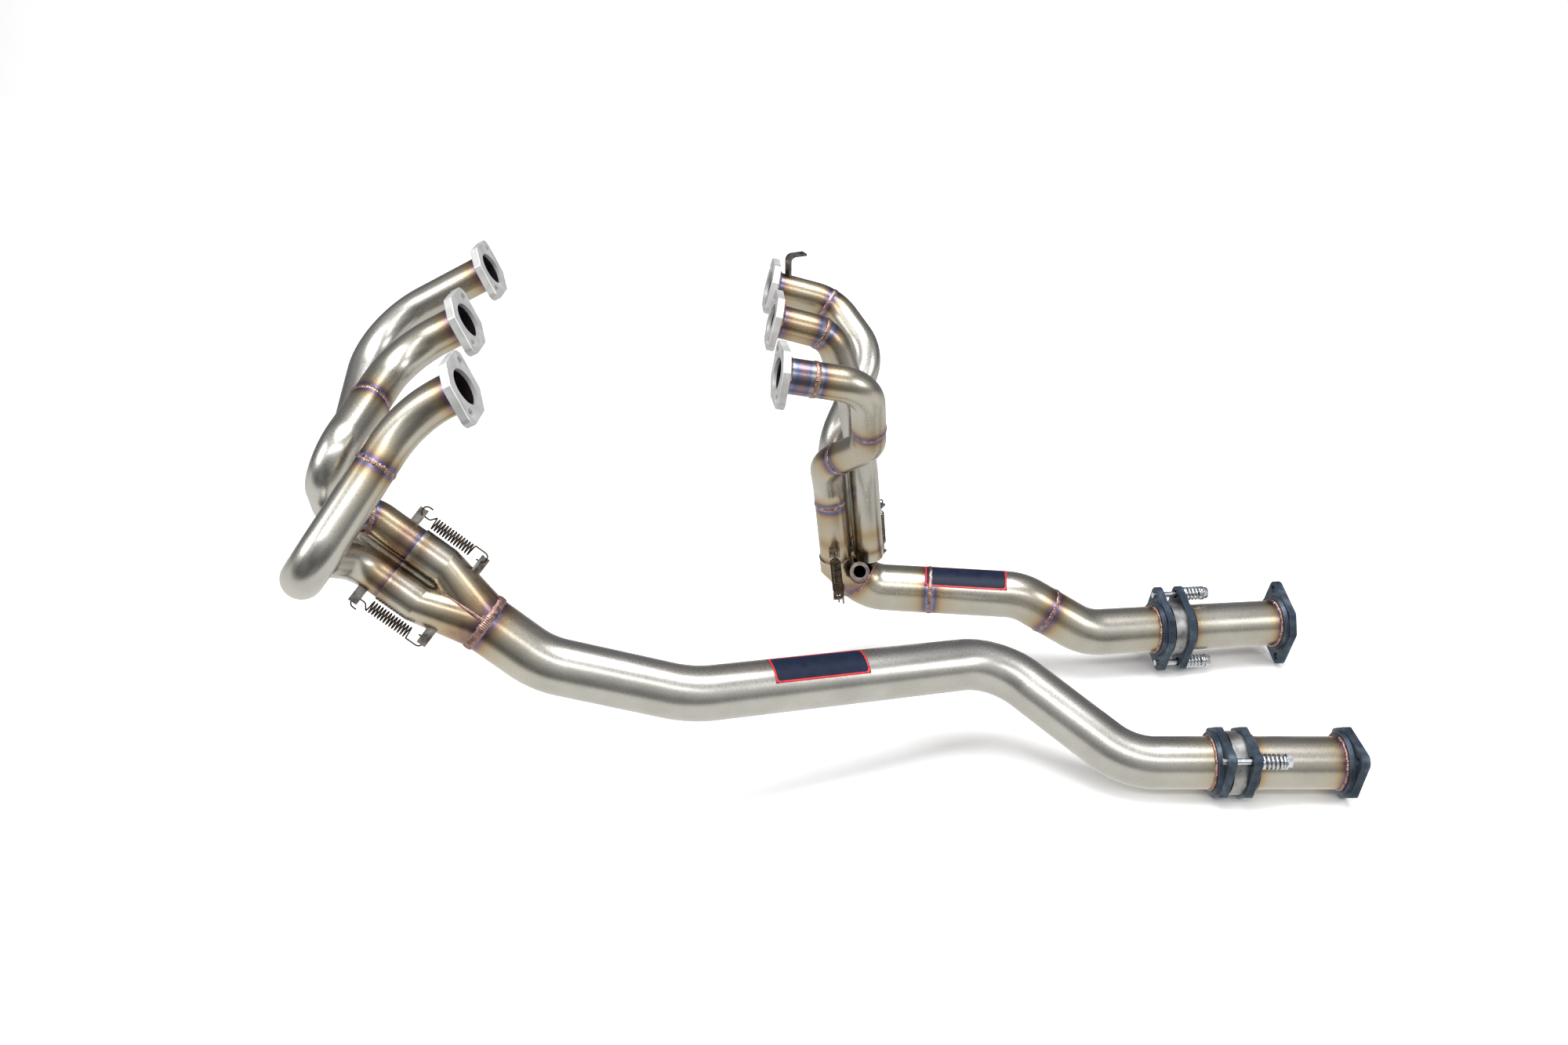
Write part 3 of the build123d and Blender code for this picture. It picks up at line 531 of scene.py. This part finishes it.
def bead_ring(name, centre, axis, radius, body, width, height):
    """a weld bead of overlapping drops round a tube"""
    axis = unit(axis)
    side = axis.orthogonal().normalized()
    up = axis.cross(side)
    count = int(2 * math.pi * radius / BEAD_PITCH) * DROP_STEPS
    vertices, faces = [], []
    for i in range(count):
        phase = (i % DROP_STEPS) / DROP_STEPS
        angle = 2 * math.pi * i / count
        out = side * math.cos(angle) + up * math.sin(angle)
        lift = height * (0.78 + 0.28 * math.sin(math.pi * phase))
        shift = 0.35 * math.sin(i * 0.7) + 0.25 * math.sin(i * 0.23)
        wide = width * (0.92 + 0.10 * math.sin(math.pi * phase) + 0.04 * math.sin(i * 0.31))
        for k in range(BEAD_ACROSS + 1):
            t = k / BEAD_ACROSS * 2 - 1
            bow = 0.07 * wide * (1 - t * t) * (phase - 0.5)
            high = lift * math.sqrt(max(0.0, 1 - t * t)) - BEAD_SINK
            along = t * wide / 2 + shift + bow
            vertices.append(row(Vector(centre) + axis * along + out * (radius + high)))
    for i in range(count):
        n = (i + 1) % count
        for k in range(BEAD_ACROSS):
            a = i * (BEAD_ACROSS + 1) + k
            b = n * (BEAD_ACROSS + 1) + k
            faces.append((a, a + 1, b + 1, b))
    piece = make_object(name, vertices, faces, WELD)
    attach(piece, body)
    return piece


def crease_bead(name, points, out):
    """a weld bead laid along an open crease that faces out"""
    runs = arc_lengths(points)
    vertices, faces = [], []
    for i, point in enumerate(points):
        ahead = (points[min(i + 1, len(points) - 1)] - points[max(i - 1, 0)]).normalized()
        side = out.cross(ahead).normalized()
        phase = (runs[i] / CREASE_PITCH) % 1.0
        lift = CREASE_HEIGHT * (0.75 + 0.30 * math.sin(math.pi * phase))
        wide = CREASE_WIDTH * (0.9 + 0.12 * math.sin(math.pi * phase))
        for k in range(BEAD_ACROSS + 1):
            t = k / BEAD_ACROSS * 2 - 1
            high = lift * math.sqrt(max(0.0, 1 - t * t)) - CREASE_SINK
            vertices.append(row(point + side * (t * wide / 2) + out * high))
    for i in range(len(points) - 1):
        for k in range(BEAD_ACROSS):
            a = i * (BEAD_ACROSS + 1) + k
            b = a + BEAD_ACROSS + 1
            faces.append((a, a + 1, b + 1, b))
    piece = make_object(name, vertices, faces, WELD)
    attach(piece, ROOT)


def at_run(points, distance):
    """point and direction at a distance along a path"""
    runs = arc_lengths(points)
    for i in range(len(points) - 1):
        if runs[i + 1] >= distance:
            t = (distance - runs[i]) / (runs[i + 1] - runs[i])
            return points[i].lerp(points[i + 1], t), (points[i + 1] - points[i]).normalized()
    return points[-1], (points[-1] - points[-2]).normalized()


def wire(name, points, radius, material, sides=10):
    """round wire along a path, closed at both ends"""
    frames = rings_frames(points)
    vertices, faces = [], []
    for point, (_, side, up) in zip(points, frames):
        for k in range(sides):
            angle = 2 * math.pi * k / sides
            vertices.append(row(point + (side * math.cos(angle) + up * math.sin(angle)) * radius))
    for i in range(len(points) - 1):
        for k in range(sides):
            n = (k + 1) % sides
            faces.append((i * sides + k, i * sides + n, (i + 1) * sides + n, (i + 1) * sides + k))
    faces.append(tuple(reversed(range(sides))))
    last = (len(points) - 1) * sides
    faces.append(tuple(range(last, last + sides)))
    piece = make_object(name, vertices, faces, material)
    return piece


# ------------------------------------------------------------------- primaries

# Butt welds along each primary, in millimetres from the port end of the tube.
FRONT_WELDS = ((112.0,), (146.0, 380.0), ())
REAR_WELDS = ((38.0, 168.0, 258.0, 374.0), (60.0,), (80.0,))
# Strength and reach of the tint at a port and at a spring tab, and of the painted shade line at a sleeve's
# mouth.
PORT_TINT = (0.74, 1.8)
TAB_TINT = (0.36, 1.6)
MOUTH_SHADE_LINE = (0.52, 0.6)
TAB_FROM_END = 46.0
# Width and height of the weld beads.
BUTT_BEAD = (5.6, 0.95)
PORT_BEAD = (5.0, 2.2)
PORT_BEAD_DEPTH = 1.2
PORT_BEAD_R = PRIMARY_R + 0.5


def build_primary(bank, number, corners, radii, welds, body, normal, port, insert):
    points = fillet_path(corners, radii)
    total = arc_lengths(points)[-1]
    # Rear welds get a wider tint: partly real heat tint, partly painted shade on the rear bank's runners.
    spots = [(w, 0.95, 1.3 if bank == "rear" else 1.1) for w in welds]
    spots.append((PORT_SOCKET + 1.0, *PORT_TINT))
    spots.append((total - TAB_FROM_END, *TAB_TINT))
    # Painted shade: a dark line just outside the sleeve's mouth, in place of the shade in the gap where the
    # primary goes in.
    spots.append((total - insert - 1.0, *MOUTH_SHADE_LINE))
    name = f"{bank}_primary_{number}"
    piece = hollow_tube(name + "_tube", points, PRIMARY_R, WALL, spots, body)
    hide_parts(name)
    for i, w in enumerate(welds):
        centre, axis = at_run(points, w)
        bead_ring(f"{name}_bead_{i + 1}", centre, axis, PRIMARY_R, body, *BUTT_BEAD)
    place = Vector(port) - normal * PORT_BEAD_DEPTH
    bead_ring(f"{name}_port_bead", place, normal, PORT_BEAD_R, body, *PORT_BEAD)


for bank, ports, normals, routes, bundle, insert, welds in (
    ("front", FRONT_PORTS, FRONT_NORMALS, FRONT_ROUTES, FRONT_BUNDLE, FRONT_INSERT, FRONT_WELDS),
    ("rear", REAR_PORTS, REAR_NORMALS, REAR_ROUTES, REAR_BUNDLE, REAR_INSERT, REAR_WELDS),
):
    for i in range(3):
        corners = primary_corners(ports[i], normals[i], routes[i], bundle, SLEEVE_ANGLES[i], insert)
        body = f"{bank}_runner_{i + 1}"
        build_primary(bank, i + 1, corners, routes[i][3], welds[i], body, normals[i], ports[i], insert)

# ------------------------------------------------------------------- downpipes

front_path = fillet_path(FRONT_PIPE, FRONT_BENDS)
front_total = arc_lengths(front_path)[-1]
front_pipe = hollow_tube("front_downpipe_tube", front_path, PIPE_R, WALL,
                         [(0.0, 0.95, 1.7), (front_total - 10.0, 0.75, 1.3)], ROOT)
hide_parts("front_downpipe")
bead_ring("front_outlet_bead", FRONT_OUTLET, FRONT_UP, PIPE_R, ROOT, 11.0, 2.2)

rear_path = fillet_path(REAR_PIPE, REAR_BENDS)
rear_total = arc_lengths(rear_path)[-1]
REAR_PIPE_WELDS = (103.0, 268.0)
rear_pipe = hollow_tube("rear_downpipe_tube", rear_path, PIPE_R, WALL,
                        [(0.0, 0.55, 1.5), (REAR_PIPE_WELDS[0], 1.0, 1.4), (REAR_PIPE_WELDS[1], 0.85, 1.7),
                         (rear_total - 10.0, 0.8, 1.5)], ROOT)
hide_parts("rear_downpipe")
for i, w in enumerate(REAR_PIPE_WELDS):
    centre, axis = at_run(rear_path, w)
    bead_ring(f"rear_downpipe_bead_{i + 1}", centre, axis, PIPE_R, ROOT, 6.0, 1.0)
bead_ring("rear_outlet_bead", REAR_OUTLET, REAR_OUT, PIPE_R, ROOT, 4.5, 1.2)


# ------------------------------------------------------------- collector creases

FAR_OUT = 90.0
CREASE_START = 1.5
CREASE_STEP = 0.6
CREASE_LENGTH = 80.0
CREASE_LOWEST = 4.0
CREASE_JUMP = 4.0
CREASE_FEWEST = 20


def crease_points(collector, outlet, direction, outwards):
    """points in the crease between two cones, from the outlet towards the sleeves"""
    mesh = collector.data
    tree = BVHTree.FromPolygons([v.co for v in mesh.vertices], [p.vertices for p in mesh.polygons])
    points, last = [], None
    for k in range(int(CREASE_LENGTH / CREASE_STEP)):
        station = outlet + direction * (CREASE_START + CREASE_STEP * k)
        start = row(station + outwards * FAR_OUT)
        hit = tree.ray_cast(start, -outwards)[0]
        height = FAR_OUT - (hit - start).length / MM if hit else 0.0
        jumped = last is not None and abs(height - last) > CREASE_JUMP
        if points and (height < CREASE_LOWEST or jumped):
            break
        if height >= CREASE_LOWEST:
            points.append(station + outwards * height)
            last = height
    return points


def crease_beads(bank, outlet, direction, bundle):
    """the crease welds that close a three-into-one cone"""
    for i in range(3):
        first, second = SLEEVE_ANGLES[i], SLEEVE_ANGLES[(i + 1) % 3]
        angle = (first + second) / 2
        if abs(first - second) > 180.0:
            angle += 180.0
        outwards = bundle.radial(angle)
        outwards = (outwards - direction * outwards.dot(direction)).normalized()
        points = crease_points(NODES[bank + "_collector"], outlet, direction, outwards)
        if len(points) > CREASE_FEWEST:
            crease_bead(f"{bank}_crease_bead_{i + 1}", points, outwards)


crease_beads("front", FRONT_OUTLET, FRONT_UP, FRONT_BUNDLE)
crease_beads("rear", REAR_OUTLET, (REAR_BUNDLE.centre - REAR_OUTLET).normalized(), REAR_BUNDLE)

# ----------------------------------------------------------------------- tails

WELD_FACE = -17.0
JOINT_THICK = 10.0
BOSS_HEIGHT = 5.0
TAIL_START = 16.0
TAIL_RECESS = 2.0
JOINT_BEAD_WIDTH = 5.0
JOINT_BEAD_HEIGHT = 2.4
JOINT_BEAD_LIFT = 0.6
for bank, centre, axis, tail in (
    ("front", FRONT_O, FRONT_AXIS, FRONT_TAIL),
    ("rear", REAR_O, REAR_AXIS, REAR_TAIL),
):
    start = centre + axis * (TAIL_START + GAP)
    end = centre + axis * (tail + JOINT_THICK - TAIL_RECESS - GAP)
    path = fillet_path((start, end), ())
    length = (end - start).length
    spots = [(2.0, 0.5, 1.2), (length - 12.0, 0.85, 1.3)]
    piece = hollow_tube(f"{bank}_tail_pipe", path, PIPE_R, WALL, spots, f"{bank}_tail")
    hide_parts(f"{bank}_tail_tube")
    boss = centre + axis * (WELD_FACE - JOINT_THICK - BOSS_HEIGHT - JOINT_BEAD_LIFT)
    bead_ring(f"{bank}_joint_bead", boss, axis, PIPE_R, ROOT, JOINT_BEAD_WIDTH, JOINT_BEAD_HEIGHT)
    boss = centre + axis * (tail - BOSS_HEIGHT - JOINT_BEAD_LIFT)
    bead_ring(f"{bank}_tail_bead", boss, axis, PIPE_R, f"{bank}_tail", JOINT_BEAD_WIDTH, JOINT_BEAD_HEIGHT)

# -------------------------------------------------------------------- springs

SPRING_SPAN = 75.0
COIL_R = 6.3
COIL_TURNS = 14
COIL_LENGTH = 50.0
HOOK_R = 5.5
HOOK_WIRE = 0.9
COIL_CLEARANCE = 9.0
SLEEVE_CLEARANCE = 0.05
HOOK_STEPS = 12
COIL_STEPS = 20


def spring_path():
    """centre line of the hooked spring, lying along +Z with +X outwards"""
    low = (SPRING_SPAN - COIL_LENGTH) / 2
    high = low + COIL_LENGTH
    points = []
    for k in range(HOOK_STEPS + 1):
        angle = math.pi * k / HOOK_STEPS
        points.append(Vector((COIL_R - HOOK_R - HOOK_R * math.cos(angle), 0, -HOOK_R * math.sin(angle))))
    points.insert(0, Vector((COIL_R - 2 * HOOK_R, 0, 4)))
    points.append(Vector((COIL_R, 0, low * 0.5)))
    for k in range(COIL_TURNS * COIL_STEPS + 1):
        angle = 2 * math.pi * k / COIL_STEPS
        points.append(Vector((COIL_R * math.cos(angle), COIL_R * math.sin(angle),
                              low + COIL_LENGTH * k / (COIL_TURNS * COIL_STEPS))))
    points.append(Vector((COIL_R * 0.5, 0, high + 2.5)))
    points.append(Vector((0.6, 0, high + 4.5)))
    points.append(Vector((0, 0, high + 7)))
    for k in range(HOOK_STEPS + 1):
        angle = math.pi * k / HOOK_STEPS
        out = HOOK_R - HOOK_R * math.cos(angle)
        points.append(Vector((out, 0, SPRING_SPAN + HOOK_R * math.sin(angle))))
    points.append(Vector((2 * HOOK_R, 0, SPRING_SPAN - 4)))
    return points


def slip_frame(bundle, angle, spring_angle, station):
    """foot of a slip spring, its outward direction and the direction across it"""
    out = bundle.radial(spring_angle)
    reach = PRIMARY_R + SLEEVE_CLEARANCE + WALL + COIL_CLEARANCE
    return bundle.along(angle, station - SPRING_SPAN) + out * reach, out, bundle.up.cross(out)


SPRING_ANGLES = {"front": (90.0, 270.0, 320.0), "rear": (160.0, 305.0, 350.0)}
TAB_STATIONS = {"front": (12.0, 12.0, 12.0), "rear": (26.0, 45.0, 30.0)}
shape = spring_path()
for bank, bundle in (("front", FRONT_BUNDLE), ("rear", REAR_BUNDLE)):
    for i in range(3):
        station = TAB_STATIONS[bank][i]
        base, out, across = slip_frame(bundle, SLEEVE_ANGLES[i], SPRING_ANGLES[bank][i], station)
        up = bundle.up
        placed = [base + out * p.x + across * p.y + up * p.z for p in shape]
        spring = wire(f"{bank}_slip_coil_{i + 1}", placed, HOOK_WIRE, BRONZED)
        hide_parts(f"{bank}_slip_spring_{i + 1}")
        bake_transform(spring)

BOLT_REACH = 47.0
JOINT_SPRING_LOW = 13.0
JOINT_SPRING_LENGTH = 28.0
JOINT_SPRING_R = 8.0
JOINT_WIRE = 1.5
JOINT_TURNS = 6.6
JOINT_CLOSED_TURNS = 0.8
JOINT_COIL_STEPS = 24
for bank, centre, axis, line in (
    ("front", FRONT_O, FRONT_AXIS, FRONT_BOLT_LINE),
    ("rear", REAR_O, REAR_AXIS, REAR_BOLT_LINE),
):
    line = (line - axis * line.dot(axis)).normalized()
    third = axis.cross(line)
    for k, sign in enumerate((1, -1)):
        base = centre + line * (BOLT_REACH * sign) + axis * JOINT_SPRING_LOW
        points = []
        count = int(JOINT_TURNS * JOINT_COIL_STEPS)
        for j in range(count + 1):
            t = j / count
            lead = (t * JOINT_TURNS - JOINT_CLOSED_TURNS) / (JOINT_TURNS - 2 * JOINT_CLOSED_TURNS)
            lead = min(1.0, max(0.0, lead))
            angle = 2 * math.pi * JOINT_TURNS * t
            height = JOINT_WIRE + (JOINT_SPRING_LENGTH - 2 * JOINT_WIRE) * lead
            out = line * math.cos(angle) + third * math.sin(angle)
            points.append(base + axis * height + out * JOINT_SPRING_R)
        coil = wire(f"{bank}_joint_coil_{k + 1}", points, JOINT_WIRE, ZINC, 12)
        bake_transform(coil)
    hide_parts(f"{bank}_joint_springs")

# ---------------------------------------------------------------- CAD finishes


def finish_node(name, material):
    thing = NODES[name]
    thing.data.materials.clear()
    thing.data.materials.append(material)


FINISHES = (
    ("port_flange", BRIGHT), ("primary_tab", TAB), ("collector_tabs", TAB), ("seal_ring", RING),
    ("joint_flange", BLUED), ("floating_flange", BLUED), ("tail_flange", BLUED), ("joint_bolts", ZINC),
    ("ball_end", RING), ("bracket", TAB), ("sensor_boss", BOSS), ("label", LABEL),
)
for node_name in NODES:
    for key, material in FINISHES:
        if node_name.split("_", 1)[1].startswith(key):
            finish_node(node_name, material)
# Length over which a collector's colours run, from its outlet to its sleeve mouths.
FRONT_RUN = 140.0
REAR_RUN_UP = 130.0
finish_node("front_collector", collector_material("front_collector_steel", FRONT_OUTLET, FRONT_UP, FRONT_RUN))
finish_node("rear_collector", collector_material("rear_collector_steel", REAR_OUTLET, REAR_UP, REAR_RUN_UP))

# ---------------------------------------------------------------------- labels


RIM_LIFT = 0.42
RIM_CORNER = 4.0
RIM_WIDTH = 2.6
RIM_EDGE = 8.0
RIM_STEP = 2.0
RIM_THICK = 0.0001
RIM_CORNER_STEPS = 6
LABEL_TURN = 15.0
LABEL_HALF_ANGLE = 36.0


def label_rim(name, start, end, first, length, turn, half_angle):
    """raised red rim round the edge of a curved plate"""
    start = Vector(start)
    axis = (Vector(end) - start).normalized()
    level = axis.cross(Vector((0, 0, 1))).normalized()
    top = level.cross(axis).normalized()
    radius = PIPE_R + GAP + RIM_LIFT
    points = []
    half_width = radius * math.radians(half_angle)

    def place(along, arc):
        angle = math.radians(turn) + arc / radius
        return start + axis * (first + along) + (top * math.cos(angle) + level * math.sin(angle)) * radius

    def inset(offset, half):
        """the edge's width, towards the middle, for a point near the end of one side"""
        if offset < RIM_EDGE - half:
            return RIM_WIDTH
        return -RIM_WIDTH if offset > half - RIM_EDGE else 0.0

    far_x, far_y = length - RIM_CORNER, half_width - RIM_CORNER
    middles = ((far_x, far_y, 0), (RIM_CORNER, far_y, 90), (RIM_CORNER, -far_y, 180), (far_x, -far_y, 270))
    outline = []
    for cx, cy, begin in middles:
        for k in range(RIM_CORNER_STEPS + 1):
            angle = math.radians(begin + 90 * k / RIM_CORNER_STEPS)
            outline.append((cx + RIM_CORNER * math.cos(angle), cy + RIM_CORNER * math.sin(angle)))
    outline.append(outline[0])
    for (x0, y0), (x1, y1) in zip(outline, outline[1:]):
        steps = max(1, int(math.hypot(x1 - x0, y1 - y0) / RIM_STEP))
        for k in range(steps):
            t = k / steps
            points.append((x0 + (x1 - x0) * t, y0 + (y1 - y0) * t))
    vertices, faces = [], []
    for x, y in points:
        vertices.append(row(place(x, y)))
        vertices.append(row(place(x + inset(x - length / 2, length / 2), y + inset(y, half_width))))
    count = len(points)
    for i in range(count):
        n = (i + 1) % count
        faces.append((2 * i, 2 * n, 2 * n + 1, 2 * i + 1))
    piece = make_object(name, vertices, faces, RIM)
    thick = piece.modifiers.new("thickness", "SOLIDIFY")
    thick.thickness = RIM_THICK
    thick.offset = 0.0
    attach(piece, ROOT)
    return piece


label_rim("front_label_rim", FRONT_PIPE[2], FRONT_PIPE[3], 92.0, 120.0, LABEL_TURN, LABEL_HALF_ANGLE)
label_rim("rear_label_rim", REAR_PIPE[1], REAR_PIPE[2], 72.0, 110.0, LABEL_TURN, LABEL_HALF_ANGLE)

# ------------------------------------------------------------------ the studio

FLOOR_Z = -0.043
FLOOR_EDGE = -0.62
FLOOR_GAIN = 1.05
FLOOR_HALF_WIDTH = 12.0
FLOOR_DEPTH = 5.0
SWEEP_R = 2.5
SWEEP_STEPS = 12
WALL_TOP = 8.0


def studio():
    """pale floor that curves up into a wall, far behind the pipes"""
    profile = [(FLOOR_EDGE, 0.0), (FLOOR_DEPTH, 0.0)]
    for k in range(1, SWEEP_STEPS + 1):
        angle = math.radians(90 * k / SWEEP_STEPS)
        profile.append((FLOOR_DEPTH + SWEEP_R * math.sin(angle), SWEEP_R * (1 - math.cos(angle))))
    profile.append((FLOOR_DEPTH + SWEEP_R, WALL_TOP))
    vertices, faces = [], []
    for y, z in profile:
        vertices.append((-FLOOR_HALF_WIDTH, y, FLOOR_Z + z))
        vertices.append((FLOOR_HALF_WIDTH, y, FLOOR_Z + z))
    for i in range(len(profile) - 1):
        faces.append((2 * i, 2 * i + 1, 2 * i + 3, 2 * i + 2))
    material, tree, shader = new_material("pale_floor")
    coords = add_node(tree, "ShaderNodeTexCoord").outputs["Object"]
    cloud = noise(tree, 3.0, 3.0, coords)
    pale = ramp(tree, cloud, ((0.30, (0.985, 0.985, 1.0)), (0.70, (1.0, 1.0, 1.0))))
    lit = add_node(tree, "ShaderNodeVectorMath", operation="SCALE")
    tree.links.new(pale, lit.inputs[0])
    lit.inputs["Scale"].default_value = FLOOR_GAIN
    matte = add_node(tree, "ShaderNodeBsdfDiffuse")
    tree.links.new(lit.outputs["Vector"], matte.inputs["Color"])
    split = add_node(tree, "ShaderNodeSeparateXYZ")
    tree.links.new(coords, split.inputs[0])
    far = add_node(tree, "ShaderNodeMapRange")
    tree.links.new(split.outputs["Y"], far.inputs["Value"])
    far.inputs["From Min"].default_value = -0.6
    far.inputs["From Max"].default_value = 3.0
    # Painted glow: rays other than camera rays see an emitting floor instead of the lit one. It is bright
    # near the camera and dim far off, a painted reflection of the floor in the tubes' lower halves.
    painted_floor_glow = ramp(tree, far.outputs["Result"], (
        (0.0, (1.20, 1.19, 1.14)), (0.30, (0.90, 0.89, 0.86)), (1.0, (0.22, 0.22, 0.24))))
    glow = add_node(tree, "ShaderNodeEmission")
    tree.links.new(painted_floor_glow, glow.inputs["Color"])
    choose = add_node(tree, "ShaderNodeMixShader")
    tree.links.new(add_node(tree, "ShaderNodeLightPath").outputs["Is Camera Ray"], choose.inputs[0])
    tree.links.new(glow.outputs[0], choose.inputs[1])
    tree.links.new(matte.outputs[0], choose.inputs[2])
    tree.links.new(choose.outputs[0], tree.nodes["Material Output"].inputs["Surface"])
    tree.nodes.remove(shader)
    backdrop = make_object("studio_floor", vertices, faces, material)


def area_light(name, place, target, size, power, stretch=1.0):
    data = bpy.data.lights.new(name, "AREA")
    data.shape = "RECTANGLE"
    data.size = size
    data.size_y = size * stretch
    data.energy = power
    lamp = bpy.data.objects.new(name, data)
    lamp.location = place
    lamp.rotation_euler = (Vector(target) - Vector(place)).to_track_quat("-Z", "Y").to_euler()
    bpy.context.scene.collection.objects.link(lamp)


def lighting():
    world = bpy.context.scene.world or bpy.data.worlds.new("studio")
    bpy.context.scene.world = world
    world.use_nodes = True
    tree = world.node_tree
    background = tree.nodes["Background"]
    coords = add_node(tree, "ShaderNodeTexCoord").outputs["Generated"]
    split = add_node(tree, "ShaderNodeSeparateXYZ")
    tree.links.new(coords, split.inputs[0])
    height = ramp(tree, spread(tree, split.outputs["Z"], 0.5, 1.0), (
        (0.0, (0.30, 0.30, 0.30)), (0.50, (0.34, 0.34, 0.34)),
        (0.72, (0.80, 0.80, 0.80)), (1.0, (1.05, 1.06, 1.08))))
    facing = ramp(tree, spread(tree, split.outputs["Y"], 0.5, 1.0), (
        (0.0, (1.0, 1.0, 1.0)), (0.45, (0.80, 0.80, 0.80)),
        (0.75, (0.30, 0.30, 0.31)), (1.0, (0.22, 0.22, 0.24))))
    beside = ramp(tree, spread(tree, split.outputs["X"], 0.5, 1.0), (
        (0.0, (0.30, 0.30, 0.32)), (0.30, (0.75, 0.75, 0.75)), (1.0, (1.0, 1.0, 1.0))))
    height = blend_colour(tree, "MULTIPLY", 1.0, height, beside)
    room = ramp(tree, noise(tree, 2.2, 2.0, coords), (
        (0.36, (0.40, 0.40, 0.42)), (0.50, (0.85, 0.85, 0.84)), (0.62, (1.25, 1.24, 1.20))))
    sky = blend_colour(tree, "MULTIPLY", 1.0, blend_colour(tree, "MULTIPLY", 1.0, height, facing), room)
    tree.links.new(sky, background.inputs["Color"])
    background.inputs["Strength"].default_value = 1.35
    middle = (-0.55, 0.1, 0.15)
    area_light("overhead_box", (-0.5, 0.0, 2.7), middle, 2.0, 76.0, 0.65)
    area_light("front_strip", (-0.6, -1.7, 2.1), middle, 3.0, 20.0, 0.12)
    area_light("left_box", (-2.9, -0.9, 1.6), middle, 1.0, 22.0, 1.2)
    area_light("right_box", (2.0, -0.9, 1.7), middle, 0.9, 18.0, 1.2)
    area_light("wall_wash", (-0.5, 3.2, 3.4), (-0.5, 6.5, 1.2), 3.5, 270.0, 0.5)


CAMERA_PLACE = (-540.0, -1203.0, 1011.4)
CAMERA_TILT = 62.0
LENS = 28.8
SENSOR = 36.0


def camera():
    data = bpy.data.cameras.new("photo_view")
    data.sensor_width = SENSOR
    data.lens = LENS
    data.clip_end = 60.0
    view = bpy.data.objects.new("photo_view", data)
    view.location = row(CAMERA_PLACE)
    view.rotation_euler = (math.radians(CAMERA_TILT), 0.0, 0.0)
    bpy.context.scene.collection.objects.link(view)
    bpy.context.scene.camera = view


studio()
lighting()
camera()
bpy.context.scene.view_settings.view_transform = "Standard"
bpy.context.scene.view_settings.exposure = 0.0
